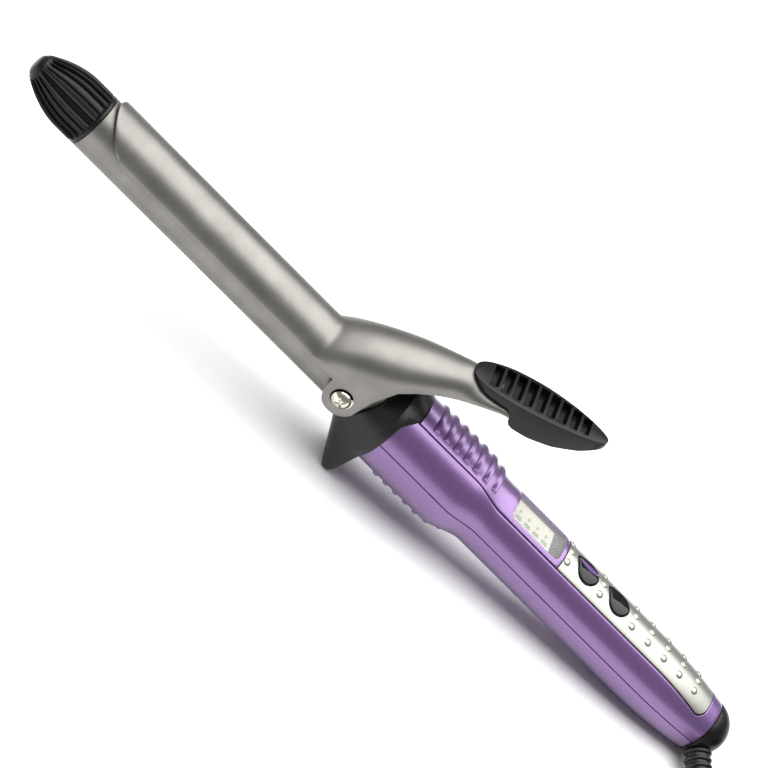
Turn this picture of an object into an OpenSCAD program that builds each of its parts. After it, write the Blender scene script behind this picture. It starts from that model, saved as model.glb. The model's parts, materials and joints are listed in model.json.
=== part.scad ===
// Curling iron with a sprung clip, a stand foot, a display handle and a swivel cord.
// Sub-parts are drawn along the iron's own axis (+X from the nose to the cord, +Z up), and lay()
// sets the iron down on its stand foot and the tail of its handle.

/* [Barrel] */
// Outer diameter of the heated barrel
barrel_d = 19.05; // [16:0.05:24]
// Wall of the barrel tube
barrel_wall = 0.9; // [0.6:0.1:1.5]
// Length of the black tip cap
tip_len = 25; // [20:1:32]
// Barrel length in view, from the tip cap to the shield collar
barrel_len = 119.5; // [100:0.5:150]

/* [Clip] */
// Thickness of the clip sheet
clip_t = 0.7; // [0.5:0.1:1.2]
// Gap between the clip and the barrel
clip_gap = 0.15; // [0.1:0.05:0.5]
// Half of the angle that the clip wraps round the barrel
clip_half_angle = 74; // [60:1:80]
// Distance from the pivot forward to the kink of the arm
arm_len = 15.7; // [12:0.1:18]
// Radius of the pivot ear
ear_r = 6.6; // [5.5:0.1:7.5]
// Diameter of the pivot screws' shanks
pivot_d = 3; // [2.5:0.1:3.5]
// Radial clearance of the ear on its pivot
pivot_clear = 0.05; // [0.02:0.01:0.1]
// Length of the thumb grip
grip_pad_len = 46.5; // [40:0.5:54]
// Width of the thumb grip
grip_pad_w = 15.8; // [13:0.1:19]
// Slope of the thumb grip in degrees
grip_pad_slope = 19; // [14:1:24]

/* [Handle] */
// Length of the gripping bulge behind the shield
grip_len = 32.7; // [28:0.1:40]
// Length of the control panel behind the display
panel_len = 69.9; // [58:0.1:84]
// Radius of the gripping bulge
bulge_r = 15; // [14:0.1:17]
// How far the bulge sits below the handle's axis
bulge_drop = 1.1; // [0:0.1:1.5]
// Radius of the slim handle
slim_r = 12.3; // [11.8:0.1:14]
// Wall of the housings
wall = 1.8; // [1.4:0.1:2.2]
// Width of the inlay on top of the handle
inlay_w = 16.4; // [14:0.1:18]
// Length of the display window
window_len = 21.2; // [17:0.1:26]
// Height of a grip rib
rib_h = 0.9; // [0.5:0.1:1.2]
// Number of grip ribs on each side
rib_count = 7; // [4:1:7]
// Travel of the buttons
button_travel = 0.8; // [0.4:0.1:1]

/* [Stand] */
// Tilt of the iron on its stand foot, in degrees
rest_tilt = 6.3; // [5:0.1:8]
// Radius of the shield's rim
shield_r = 16; // [15.5:0.1:19]
// Half width of the foot's sole
foot_half_w = 8.5; // [6:0.5:11]

/* [Hidden] */

black = "#2A2B2C";
metal = "#A8A5A0";
purple = "#8E68A6";
silver = "#D5D6D0";
copper = "#B87333";

fit = 0.05;
air = 0.3;
barrel_r = barrel_d / 2;
bore_r = barrel_r - barrel_wall;
collar_x = tip_len + barrel_len;
plate_x = collar_x + 8.2;
plate_t = 2.6;
handle_x = plate_x + plate_t;
bulge_end = handle_x + grip_len;
neck_end = bulge_end + 11;
window_x = neck_end + 2.4;
inlay_x2 = window_x + window_len + 1.5;
panel_end = inlay_x2 + panel_len;
tail_x = panel_end + 5;
taper_x = tail_x - 29;
tail_drop = 2.4;
pivot_x = collar_x - 7.3;

// Radius of the slim handle, which draws in towards the tail
function slim_at(x) = x < taper_x ? slim_r : slim_r - tail_drop * pow((x - taper_x) / (tail_x - taper_x), 2);
function ease(t) = let (c = min(1, max(0, t))) c * c * (3 - 2 * c);
// Radius of the bulge, which necks down behind the grip
function bulge_at(x) = bulge_r - (bulge_r - slim_r + 2.2) * ease((x - bulge_end) / (neck_end - bulge_end));

slim_outline = concat([[bulge_end - 12, slim_r], [taper_x, slim_r]],
    [for (k = [1:12]) let (x = taper_x + (tail_x - taper_x) * k / 12) [x, slim_at(x)]]);
bulge_outline = concat([[handle_x, bulge_r]],
    [for (k = [0:10]) let (x = bulge_end + (neck_end - bulge_end) * k / 10) [x, bulge_at(x)]]);
// Height of the iron's axis above the table at the nose, from the point of the tail that touches
axis_drop = max([for (p = slim_outline) p[0] * sin(rest_tilt) + p[1] * cos(rest_tilt)]);
nose_r = 3.6;
dome_r = slim_r - tail_drop - 0.1;
x_low = -nose_r * sin(rest_tilt);
x_high = (tail_x + air) * cos(rest_tilt) + dome_r;
x_mid = (x_low + x_high) / 2;

board_x = window_x - 1.5;
board_end = tail_x - 20;
board_t = 1.2;
board_top = 4.6;
board_gap = 0.64;
board_w = 2 * (sqrt(pow(slim_r - wall, 2) - pow(board_top, 2)) - board_gap);
panel_t = 1.5;
button_x = [inlay_x2 + 8.85, inlay_x2 + 23.35];
stem_r = 4;
rings_x = [tail_x - 16, tail_x - 12];
ring_r = 5;

pad_x = pivot_x + 19.8;
pad_h = 35;
pad_t = 3.2;
clip_in = barrel_r + clip_gap;
clip_out = clip_in + clip_t;
kink_x = pivot_x - arm_len;
ear_y = barrel_r + 1.05;
arm_end = pad_x + 16.2;

module lay() translate([-x_mid, 0, axis_drop]) rotate([0, rest_tilt, 0]) children();
// A body of revolution about the iron's axis, from points [x, radius]
module turned(points) rotate([0, 90, 0]) rotate_extrude($fn = 96) polygon([for (p = points) [p[1], p[0]]]);
module tube(x1, x2, r_out, r_in) turned([[x1, r_in], [x2, r_in], [x2, r_out], [x1, r_out]]);
module rod(x1, x2, r) translate([x1, 0, 0]) rotate([0, 90, 0]) cylinder(r = r, h = x2 - x1, $fn = 64);
module block(x1, x2, w, z1, z2) translate([x1, -w / 2, z1]) cube([x2 - x1, w, z2 - z1]);
module across(x, z, r, y1, y2) translate([x, y2, z]) rotate([90, 0, 0])
    cylinder(r = r, h = y2 - y1, $fn = 48);
// Half of the space, above or below the parting plane of the housings
module half(sign) translate([-10, -60, sign > 0 ? 0 : -120]) cube([tail_x + 60, 120, 120]);
// A plan outline pushed up through the top of the handle
module through_top(z1, z2) translate([0, 0, z1]) linear_extrude(z2 - z1) children();
module rounded_plan(x1, x2, w, r) translate([x1 + r, -w / 2 + r]) union() {
    square([x2 - x1 - 2 * r, w - 2 * r]);
    translate([-r, 0]) square([x2 - x1, w - 2 * r]);
    translate([0, -r]) square([x2 - x1 - 2 * r, w]);
    for (x = [0, x2 - x1 - 2 * r], y = [0, w - 2 * r]) translate([x, y]) circle(r = r, $fn = 32);
}
// The handle's outer form, smaller by an inset
module handle_form(inset) {
    turned(concat([[bulge_end - 12, 0]], [for (p = slim_outline) [p[0], p[1] - inset]], [[tail_x, 0]]));
    translate([0, 0, -bulge_drop]) turned(concat([[handle_x, 0]],
        [for (p = bulge_outline) [p[0], p[1] - inset]], [[neck_end, 0]]));
}
// A closed solid through rings of points, each ring with the same number of points
module skin(rings) {
    n = len(rings[0]);
    m = len(rings);
    polyhedron(points = [for (r = rings) for (p = r) p], convexity = 8, faces = concat(
        [[for (i = [0:n - 1]) n - 1 - i]], [[for (i = [0:n - 1]) (m - 1) * n + i]],
        [for (k = [0:m - 2]) for (i = [0:n - 1]) for (f = [0, 1]) let (j = (i + 1) % n)
            f == 0 ? [k * n + i, k * n + j, (k + 1) * n + j]
                : [k * n + i, (k + 1) * n + j, (k + 1) * n + i]]));
}

// ---- Barrel and heater ----
module tip_cap() color(black) difference() {
    turned(concat([[0, 0], [0, nose_r - 0.6], [0.5, nose_r]],
        [for (k = [1:10]) let (u = k / 10) [0.5 + 17 * u, nose_r + (barrel_r - nose_r)
            * pow(sin(90 * u), 0.85)]],
        [[tip_len, barrel_r], [tip_len, bore_r - fit], [tip_len + 8, bore_r - fit], [tip_len + 8, bore_r - 2],
         [tip_len - 6, bore_r - 2], [tip_len - 12, 0]]));
}
module barrel() color(metal) tube(tip_len, handle_x + 13, barrel_r, bore_r);
spreader_x = [tip_len + 12, collar_x - 30];
plate_half = 1.3;
module heater_plate() color("white") block(spreader_x[0] + 2, spreader_x[1] - 2, 10, -plate_half, plate_half);
module heat_spreaders() color("silver") difference() {
    rod(spreader_x[0], spreader_x[1], bore_r - fit);
    block(spreader_x[0] - 1, spreader_x[1] + 1, barrel_d, -plate_half, plate_half);
}
lead_y = 3;
lead_r = 0.8;
fuse_x = [spreader_x[1] + 8, spreader_x[1] + 19];
module heater_leads() color("white") {
    for (s = [-1, 1]) translate([0, s * lead_y, 0]) {
        if (s > 0) rod(spreader_x[1] - 2, board_x + 4, lead_r);
        if (s < 0) rod(spreader_x[1] - 2, fuse_x[0], lead_r);
        if (s < 0) rod(fuse_x[1], board_x + 4, lead_r);
        translate([board_x + 4 - lead_r, 0, 0]) cylinder(r = lead_r, h = board_top - board_t, $fn = 32);
    }
}
module thermal_fuse() color("tan") translate([0, -lead_y, 0]) rod(fuse_x[0], fuse_x[1], 1.6);
module temperature_sensor() color("orange") translate([0, 0, 4]) rod(spreader_x[1], spreader_x[1] + 5, 1.2);
module barrel_insulator() color("ivory") difference() {
    rod(collar_x - 8, collar_x - 2, bore_r - fit);
    for (s = [-1, 1]) translate([0, s * lead_y, 0]) rod(collar_x - 9, collar_x - 1, lead_r + air);
}
module barrel_socket() color("ivory") difference() {
    translate([0, 0, -bulge_drop]) rod(handle_x + 6, handle_x + 14, bulge_r - wall - fit);
    rod(handle_x + 5, handle_x + 13, barrel_r + fit);
    rod(handle_x + 5, handle_x + 15, bore_r - 1);
}

// ---- Clip ----
module pivot_bosses() color(metal) difference() {
    for (s = [-1, 1]) across(pivot_x, 0, pivot_d / 2 + 1.3, s > 0 ? 4 : -ear_y + air, s > 0 ? ear_y
        - air : -4);
    rod(pivot_x - 10, pivot_x + 10, bore_r);
    for (s = [-1, 1]) across(pivot_x, 0, pivot_d / 2 - 0.2, s > 0 ? 2 : -ear_y, s > 0 ? ear_y : -2);
}
washer_t = 0.6;
washer_y = ear_y + clip_t + 0.1;
module pivot_washers() color("silver") for (s = [-1, 1]) difference() {
    across(pivot_x, 0, 3.75, s > 0 ? washer_y : -washer_y - washer_t, s > 0 ? washer_y + washer_t
        : -washer_y);
    across(pivot_x, 0, pivot_d / 2 + fit, -30, 30);
}
module pivot_screws() color("silver") for (s = [-1, 1]) mirror([0, s > 0 ? 0 : 1, 0]) difference() {
    union() {
        across(pivot_x, 0, pivot_d / 2, ear_y - air, washer_y + washer_t);
        across(pivot_x, 0, pivot_d / 2 - 0.2, bore_r + 0.2, ear_y);
        intersection() {
            translate([pivot_x, washer_y + washer_t - 1.4, 0]) sphere(r = 3.9, $fn = 64);
            across(pivot_x, 0, 3.25, washer_y + washer_t, washer_y + washer_t + 2.5);
        }
    }
    for (a = [45, 135]) translate([pivot_x, washer_y + washer_t + 2.6, 0]) rotate([0, a, 0])
        cube([3.6, 2.6, 0.7], center = true);
}
// Height of the clip's outer crown at a place along the iron
function crown(x) = x < kink_x ? clip_out
    : clip_out + (pad_h - 1 - clip_out) * pow(min(1, (x - kink_x) / (pad_x - kink_x)), 0.75)
      + max(0, x - pad_x) * tan(grip_pad_slope);
// Height of the lower edge of the clip: spoon, ear, then the underside of the arm
spoon_edge = clip_out * cos(clip_half_angle);
function edge(x) = let (d = abs(x - pivot_x))
    x < pivot_x - ear_r ? spoon_edge
    : x <= pivot_x + ear_r * 0.94 ? -sqrt(max(0, ear_r * ear_r - d * d)) + (x < pivot_x ? 1 : 0)
        * spoon_edge * ease(d / ear_r - 0.5)
    : lookup(x - pivot_x, [[6.2, -2], [6.5, 6], [9, 15.5], [12.5, 19.5], [17, 23.2], [22.6, 27.1],
        [30, 32], [42, 39.5]]);
function narrow(x) = ease((x - pivot_x - 3) / 21);
function arm_half(x) = clip_out + (ear_y + clip_t - clip_out) * ease((x - kink_x + 4) / 8) - 4.4 * narrow(x);
function arm_arch(x) = clip_out - 3.8 * narrow(x) - 2.6 * ease((x - pivot_x - 22) / 14);
function arch_angle(x) = clip_half_angle + (90 - clip_half_angle) * ease((x - kink_x) / 6);
tongue = 12;
arch_steps = 8;
wall_steps = 3;
// One side of a section: the arch from the crown outwards, then the straight wall down to the edge
function half_section(x, x0, inset) = let (w = arm_half(x) - inset, c = arm_arch(x) - inset,
    a = arch_angle(x),
    top = crown(x) - inset, low = min(edge(x), top - c * (1 - cos(a)) - 0.3))
    concat([for (k = [0:arch_steps]) let (b = a * k / arch_steps)
            [x0 + (x - x0 > 0 || k == 0 ? x - x0 : 0), w * sin(b), top - c * (1 - cos(b))]],
        [for (k = [1:wall_steps]) [x, w * sin(a), top - c * (1 - cos(a)) * (1 - k / wall_steps)
            - (top - low) * k / wall_steps]]);
function clip_section(x, inset) = let (one = half_section(x, x, inset), n = len(one))
    concat([for (k = [n - 1:-1:1]) [one[k][0], -one[k][1], one[k][2]]], one);
function recess(x, p) = let (a = min(1, abs(atan2(p[1], p[2])) / clip_half_angle))
    [x + tongue * pow(a, 2.2) * (1 - ease((x - tip_len - 1) / (2 * tongue))), p[1], p[2]];
function clip_ring(x) = concat([for (p = clip_section(x, 0)) recess(x, p)],
    let (inner = clip_section(x, clip_t), n = len(inner)) [for (k = [n - 1:-1:0]) recess(x, inner[k])]);
clip_stations = concat([for (k = [0:6]) tip_len + 1 + 2 * tongue * k / 6], [kink_x - 4],
    [for (k = [0:5]) kink_x + (pivot_x - ear_r - 0.05 - kink_x) * k / 5],
    [for (k = [0:12]) pivot_x - ear_r * cos(15 * k) * 0.999 * (k < 6 ? 1 : 0.94)],
    [for (d = [6.5, 7.6, 9, 11, 14, 17, 20, 23, 27, 31]) pivot_x + d], [arm_end]);
module clip() color(metal) difference() {
    skin([for (x = clip_stations) clip_ring(x)]);
    across(pivot_x, 0, pivot_d / 2 + pivot_clear, -30, 30);
}

// ---- Thumb grip, drawn along its own slope ----
module on_pad() translate([pad_x, 0, pad_h]) rotate([0, -grip_pad_slope, 0]) children();
leaf_power = 0.55;
leaf_shift = 0.75;
function leaf(u) = grip_pad_w / 2 * pow(sin(180 * pow(u, leaf_shift)), leaf_power);
module leaf_plan(shrink) polygon(concat(
    [for (k = [0:24]) let (u = (1 - cos(7.5 * k)) / 2) [grip_pad_len * u, max(0.01, leaf(u) - shrink)]],
    [for (k = [23:-1:1]) let (u = (1 - cos(7.5 * k)) / 2) [grip_pad_len * u, -max(0.01, leaf(u) - shrink)]]));
pad_back = grip_pad_len - 1;
module thumb_grip() color(black) difference() {
    on_pad() difference() {
        intersection() {
            translate([0, 0, -14]) linear_extrude(18) leaf_plan(0);
            rotate([90, 0, 0]) translate([0, 0, -20]) linear_extrude(40) polygon([[-1, -pad_t], [16, -pad_t],
                [16.5, -6], [18.5, -7.6], [24, -8.2], [32, -7.4], [40, -5.2], [pad_back, -2.5],
                    [grip_pad_len + 1, -1],
                [grip_pad_len + 1, 0.4], [34, 1.1], [23, 1.3], [12, 1.1], [-1, 0.4]]);
        }
        for (k = [0:8]) let (u = 7 + 3.9 * k, w = 1.3 * leaf(u / grip_pad_len))
            translate([u, -w / 2 + 0.4, -1]) cube([2.3, w, 4]);
    }
    for (x = [pad_x - 2:2:arm_end + 0.5]) let (w = 2 * arm_half(x) + 0.1)
        translate([x - 0.05, -w / 2, crown(x) - 12]) cube([2.1, w, 12.3 + 2 * tan(grip_pad_slope)]);
}
rivet_x = [pad_x + 4.5, pad_x + 11.5];
module grip_rivets() color("silver") for (x = rivet_x) translate([x, 0, crown(x) - clip_t - 0.8])
    cylinder(r = 1.8, h = 0.8, $fn = 32);
// Leaf spring under the arm, its lower end resting on the barrel
spring_w = 6;
module clip_spring() color("silver") translate([0, spring_w / 2, 0]) rotate([90, 0, 0])
    linear_extrude(spring_w)
    polygon(concat([for (k = [0:8]) let (u = k / 8, x = pivot_x + 7 - 9 * u) [x, barrel_r + 0.1 + 8.6
        * pow(u, 1.6)]],
        [for (k = [8:-1:0]) let (u = k / 8, x = pivot_x + 7 - 9 * u) [x + 0.1, barrel_r + 0.6 + 8.6
            * pow(u, 1.6)]]));

// ---- Heat shield and stand foot ----
collar_r = barrel_r + 1.6;
collar_lean = 0.36;
function sole_at(x) = -(axis_drop - x * sin(rest_tilt)) / cos(rest_tilt);
foot_low = sole_at(plate_x) - 1;
// Outline of the plate: the rim above, and the tongue of the foot below
function rim_point(a, e) = let (y = sin(a), z = cos(a), r = collar_r + (shield_r - collar_r) * e,
    foot = ease((-z - 0.55) / 0.4), c = -bulge_drop * e)
    [y * r * (1 - foot * e) + foot * e * (y / 0.6) * (foot_half_w + 1), z * r * (1 - foot * e) + foot
        * e * foot_low + c * (1 - foot)];
rim_steps = 48;
function shield_ring(s, inset) = [for (k = [0:rim_steps - 1]) let (a = 360 * k / rim_steps, e = pow(s, 1.25),
    p = rim_point(a, e), x0 = collar_x + collar_lean * collar_r * cos(a)) [x0 + (plate_x - x0) * s, p[0],
        p[1]]];
module heat_shield() color(black) difference() {
    union() {
        skin(concat([for (s = [0:0.125:1]) shield_ring(s, 0)],
            [[for (k = [0:rim_steps - 1]) let (p = rim_point(360 * k / rim_steps, 1)) [handle_x, p[0],
                p[1]]]]));
        intersection() {
            translate([0, 0, -bulge_drop]) rod(handle_x - 1.5, handle_x + 4, bulge_r + 0.7);
            block(handle_x - 2, handle_x + 5, inlay_w, 4, 30);
        }
    }
    rod(collar_x - 9, handle_x + 5, barrel_r + fit);
    intersection() {
        handle_form(-fit);
        translate([handle_x, -30, -30]) cube([10, 60, 60]);
    }
    rotate([0, -rest_tilt, 0]) translate([0, -50, -axis_drop - 40]) cube([400, 100, 40]);
}

// ---- Handle ----
module shell() difference() {
    handle_form(0);
    handle_form(wall);
    rod(handle_x - 5, handle_x + 2, barrel_r + fit);
    rod(tail_x - 3, tail_x + 1, stem_r + fit);
}
module opening(gap) rounded_plan(handle_x - 5, panel_end + gap, inlay_w + 2 * gap, 3);
web_x = tail_x - 8;
module end_web() tube(web_x, web_x + 2, slim_at(web_x + 2) - wall + 0.1, stem_r + fit);
screw_x = [neck_end - 1, board_end - 9];
thread_r = 1.45;
rib_pitch = (grip_len - 6.3) / (rib_count - 1);
rib_x = [for (k = [0:rib_count - 1]) handle_x + 8.5 + rib_pitch * k];
function rib_profile(x, sink) = let (r = bulge_at(x)) [[x - 1.6, bulge_at(x - 1.6) - sink],
    [x - 1.1, r + rib_h * 0.8], [x - 0.4, r + rib_h], [x + 0.4, r + rib_h * 0.8],
        [x + 1.7, bulge_at(x + 1.7) - sink]];
module grip_ribs() for (x = rib_x) translate([0, 0, -bulge_drop])
    turned(concat([[x - 1.6, bulge_at(x) - 1.1]],
    rib_profile(x, 0.35), [[x + 1.7, bulge_at(x + 1.7) - 1.1]]));
// The outer form of the handle with its top ribs turned into it
ribbed_outline = concat([[handle_x, bulge_r]], [for (x = rib_x) for (p = rib_profile(x, 0)) p],
    [for (p = bulge_outline) if (p[0] > rib_x[rib_count - 1] + 2) p]);
module ribbed_form() {
    handle_form(0);
    translate([0, 0, -bulge_drop]) turned(concat([[handle_x, 0]], ribbed_outline, [[neck_end, 0]]));
}
module upper_housing() color(purple) {
    difference() {
        intersection() {
            shell();
            half(1);
        }
        through_top(0, 40) opening(fit);
    }
    intersection() {
        end_web();
        half(1);
    }
}
module screw_holes() for (x = screw_x) {
    translate([x, 0, -30]) cylinder(r = thread_r + fit, h = 40, $fn = 32);
    translate([x, 0, -30]) cylinder(r = 3, h = 30 - slim_r + 3.2, $fn = 32);
}
screw_tip = 9;
// Boss that hangs from the top of the handle and takes a screw from below
module upper_boss(x) intersection() {
    difference() {
        translate([x, 0, board_top + 0.1]) cylinder(r = 2.6, h = 20, $fn = 32);
        translate([x, 0, 0]) cylinder(r = thread_r + fit, h = screw_tip + 0.1, $fn = 32);
    }
    handle_form(0.5);
}
module lower_housing() color(purple) {
    difference() {
        union() {
            intersection() {
                shell();
                half(-1);
            }
            for (x = screw_x) intersection() {
                translate([x, 0, -slim_r]) cylinder(r = 4.2, h = slim_r - 4, $fn = 48);
                handle_form(0.5);
            }
            intersection() {
                end_web();
                half(-1);
            }
            intersection() {
                grip_ribs();
                block(handle_x, neck_end, 15, -30, -5);
            }
        }
        screw_holes();
    }
}
module housing_screws() color("silver") for (x = screw_x) translate([x, 0, -slim_r + 3.2]) difference() {
    union() {
        translate([0, 0, -1.8]) cylinder(r = 2.8, h = 1.8, $fn = 32);
        cylinder(r = thread_r, h = slim_r - 3.2 + screw_tip, $fn = 32);
    }
    for (a = [0, 90]) rotate(a) cube([3.4, 0.7, 1.6 + 2], center = true);
}
module inlay_solid(x1, x2, t, ribbed = false) intersection() {
    difference() {
        if (ribbed) ribbed_form();
        else handle_form(0);
        handle_form(t);
    }
    through_top(3, 40) intersection() {
        opening(0);
        translate([x1, -20]) square([x2 - x1, 40]);
    }
}
module top_inlay() color(purple) difference() {
    union() {
        inlay_solid(handle_x + 4 + fit, inlay_x2 - fit, panel_t, true);
        upper_boss(screw_x[0]);
    }
    through_top(0, 40) rounded_plan(window_x, window_x + window_len, inlay_w - 3, 1.5);
}
module display_window() color([0.8, 0.85, 0.85, 0.3]) intersection() {
    difference() {
        handle_form(0.15);
        handle_form(1.35);
    }
    through_top(3, 40) rounded_plan(window_x + fit, window_x + window_len - fit, inlay_w - 3 - 2 * fit, 1.4);
}
lcd_w = inlay_w - 3.8;
lcd_top = slim_r - 4;
module lcd_module() color("#DADACD") block(window_x + 1.4, window_x + window_len - 3, lcd_w - 0.8,
    board_top, lcd_top);
module lcd_bezel() color(black) difference() {
    block(window_x - 0.5, window_x + window_len + 0.5, lcd_w + 0.4, board_top, lcd_top + 0.25);
    block(window_x + 1.4 - fit, window_x + window_len - 3 + fit, lcd_w - 0.8 + 2 * fit, board_top - 1,
        lcd_top + 1);
}
module drop_plan(grow) hull() {
    translate([0.8, -1.4]) circle(r = 4.3 + grow, $fn = 48);
    translate([-3.2, 0.6]) circle(r = 1.5 + grow, $fn = 24);
}
dot_first = inlay_x2 + 1.4;
dot_pitch = (panel_len - 9.3) / 8;
dot_columns = [0, 2, 4, 5, 6, 7, 8];
module control_panel() color(silver) difference() {
    union() {
        inlay_solid(inlay_x2 + fit, panel_end, panel_t);
        upper_boss(screw_x[1]);
        for (c = dot_columns, a = [-22, 0, 22]) let (x = dot_first + dot_pitch * c)
            rotate([-a, 0, 0]) translate([x, 0, slim_at(x) - 0.55]) sphere(r = 1.2, $fn = 24);
    }
    for (x = button_x) translate([x, 0, 5]) linear_extrude(20) drop_plan(0.15);
}
switch_top = slim_r - 3.6;
module button(x) {
    intersection() {
        translate([x, 0, switch_top + 1]) linear_extrude(10) drop_plan(0);
        handle_form(-0.5);
    }
    intersection() {
        translate([x, 0, switch_top + 0.1]) linear_extrude(1.2) drop_plan(0.9);
        handle_form(panel_t + 0.1);
    }
}
module power_button() color(black) button(button_x[0]);
module heat_button() color(black) button(button_x[1]);
module circuit_board() color("darkgreen") difference() {
    block(board_x, board_end, board_w, board_top - board_t, board_top);
    for (s = [-1, 1]) translate([board_x + 4 - lead_r, s * lead_y, 0])
        cylinder(r = lead_r + fit, h = 3.4, $fn = 32);
    translate([screw_x[1], 0, 0]) cylinder(r = thread_r + fit, h = board_top + 1, $fn = 32);
}
module tact_switches() color("dimgray") for (x = button_x) {
    block(x - 3, x + 3, 6, board_top, board_top + 2.9 - button_travel);
    translate([x, 0, board_top]) cylinder(r = 1.6, h = switch_top - button_travel - board_top, $fn = 32);
}
module triac() color("#333333") block(board_x + 8, board_x + 18, 10, board_top - board_t - 3, board_top
    - board_t);
module board_capacitor() color("goldenrod") translate([button_x[1] - 7, 0, board_top - board_t - 5])
    cylinder(r = 3.2, h = 5, $fn = 48);

// ---- Swivel and strain relief ----
module swivel_ball() color(black) difference() {
    union() {
        rod(tail_x - 18, tail_x + air + 1, stem_r);
        rod(tail_x - 18.8, tail_x - 17.2, ring_r);
        intersection() {
            translate([tail_x + air, 0, 0]) sphere(r = dome_r, $fn = 96);
            rod(tail_x + air, tail_x + 20, dome_r + 1);
        }
    }
    rod(tail_x - 20, tail_x - 2, 1.5);
    relief_path_cut();
}
module slip_rings() color("gold") for (x = rings_x) tube(x, x + 1.6, ring_r, stem_r);
module contact_springs() color(copper) for (k = [0, 1]) translate([0, k == 0 ? -1.6 : 1.6, 0]) {
    block(board_end - 4, rings_x[k] + 1.6, 1.2, ring_r + fit, ring_r + fit + 0.3);
    block(board_end - 4, board_end - 2, 1.2, board_top, ring_r + fit);
}
// The strain relief leaves the ball to one side and bends level with the table
ball_x = (tail_x + air) * cos(rest_tilt) - x_mid;
ball_z = axis_drop - (tail_x + air) * sin(rest_tilt);
relief_turn = 63;
relief_fall = 19;
relief_from = dome_r - 1.4;
relief_len = 24;
relief_bend = 9.5;
cord_d = 6;
function relief_at(s) = let (f = relief_fall, level = min(1, max(0, (s - relief_from) / relief_bend)),
    down = s <= relief_from ? s * sin(f)
        : relief_from * sin(f) + relief_bend / (f * PI / 180) * (cos(f * (1 - level)) - cos(f)),
    out = s <= relief_from ? s * cos(f)
        : relief_from * cos(f) + relief_bend / (f * PI / 180) * (sin(f) - sin(f * (1 - level)))
            + max(0, s - relief_from - relief_bend))
    [ball_x + out * cos(relief_turn), -out * sin(relief_turn), ball_z - down];
relief_r = [4.4, 3.4];
// Points round a path place, in the plane across the heading h
function ring_at(c, h, r, n) = let (f = h / norm(h), side = cross(f,
    [0, 0, 1]) / norm(cross(f, [0, 0, 1])), up = cross(side, f))
    [for (k = [0:n - 1]) c + r * (side * cos(360 * k / n) + up * sin(360 * k / n))];
function relief_ring(s, r, n) = ring_at(relief_at(s), relief_at(s + 0.1) - relief_at(s - 0.1), r, n);
relief_stations = [for (k = [0:8]) relief_from + relief_len * k / 8];
module relief_path_cut() rotate([0, -rest_tilt, 0]) translate([x_mid, 0, -axis_drop])
    skin([relief_ring(relief_from, relief_r[0] + fit, 24),
        relief_ring(relief_from + 8, relief_r[0] + fit, 24)]);
module strain_relief() color(black) skin([for (s = relief_stations)
    relief_ring(s, relief_r[0] + (relief_r[1] - relief_r[0]) * (s - relief_from) / relief_len, 24)]);

// ---- Cord, hank and plug, drawn as they lie on the table ----
tie_t = 0.8;
hank_x = 208;
hank_y = -14;
hank_run = 62;
hank_r = 30;
hank_layers = 2;
cord_r = cord_d / 2;
hank_top = tie_t + hank_layers * cord_d;
plug_x = 249;
plug_y = -36;
plug_z = hank_top + 6.5;
lane_y = hank_y - hank_r;
relief_tip = relief_from + relief_len;
lead_route = [relief_at(relief_tip + air), relief_at(relief_tip + 2.5), [161.4, -33.9, 5.1],
    [163.8, -37.2, 4.3],
    [167.6, -40.2, 3.5], [173.5, -42.6, 3], [181, -43.8, 3],
    [190, -44, 3.2], [199, -44, 3.6], [hank_x, lane_y, tie_t + cord_r]];
end_route = [[hank_x, -38, 15.8], [213, -38, 15.8], [219, -37.8, 16.2], [226, -37.3, 17.2],
    [233, -36.6, 18.4],
    [240, -36.1, 19.1], [246, plug_y, 19.3], [253, plug_y, 19.3]];
function heading(route, k) = route[min(k + 1, len(route) - 1)] - route[max(k - 1, 0)];
module swept(route, r) skin([for (k = [0:len(route) - 1]) ring_at(route[k], heading(route, k), r, 12)]);
module hank_plan(r) hull() for (x = [hank_x, hank_x + hank_run]) translate([x, hank_y])
    circle(r = r, $fn = 64);
module cord_lead() color(black) swept(lead_route, cord_r);
module cord_hank() color(black) translate([0, 0, tie_t]) linear_extrude(hank_layers * cord_d)
    hank_plan(hank_r + cord_r);
module cord_end() color(black) swept(end_route, cord_r);
tie_x = hank_x + hank_run / 2 - 5;
tie_w = 8;
tie_outline = [[hank_y - hank_r - cord_r, tie_t], [hank_y + hank_r + cord_r, tie_t],
    [hank_y + hank_r + cord_r, hank_top],
    [plug_y - 0.4 + cord_r, 22.3], [plug_y - 0.4 - cord_r, 22.3], [hank_y - hank_r - cord_r, hank_top]];
module hank_tie() color("dimgray") translate([tie_x, 0, 0]) rotate([90, 0, 90]) linear_extrude(tie_w)
    difference() {
    offset(r = tie_t, $fn = 16) polygon(tie_outline);
    polygon(tie_outline);
}
module plug_body() color(black) translate([plug_x, plug_y, plug_z]) difference() {
    union() {
        hull() {
            rotate([0, 90, 0]) cylinder(r = 4.2, h = 1, $fn = 32);
            translate([14, -8.5, -6.5]) cube([1, 17, 13]);
        }
        translate([14, -12, -6.5]) cube([17, 24, 13]);
    }
    translate([-1, 0, 0]) rotate([0, 90, 0]) cylinder(r = cord_r + fit, h = 5, $fn = 32);
    for (y = [-6.35, 6.35]) translate([24, y - 0.8, -4]) cube([8, 1.6, 8]);
}
blade_gap = 12.7;
module plug_blades() color("gold") for (s = [-1, 1]) translate([plug_x + 24, plug_y + s * blade_gap / 2
    - 0.75, plug_z - (s > 0 ? 3.95 : 3.15)])
    cube([24, 1.5, s > 0 ? 7.9 : 6.3]);

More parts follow.
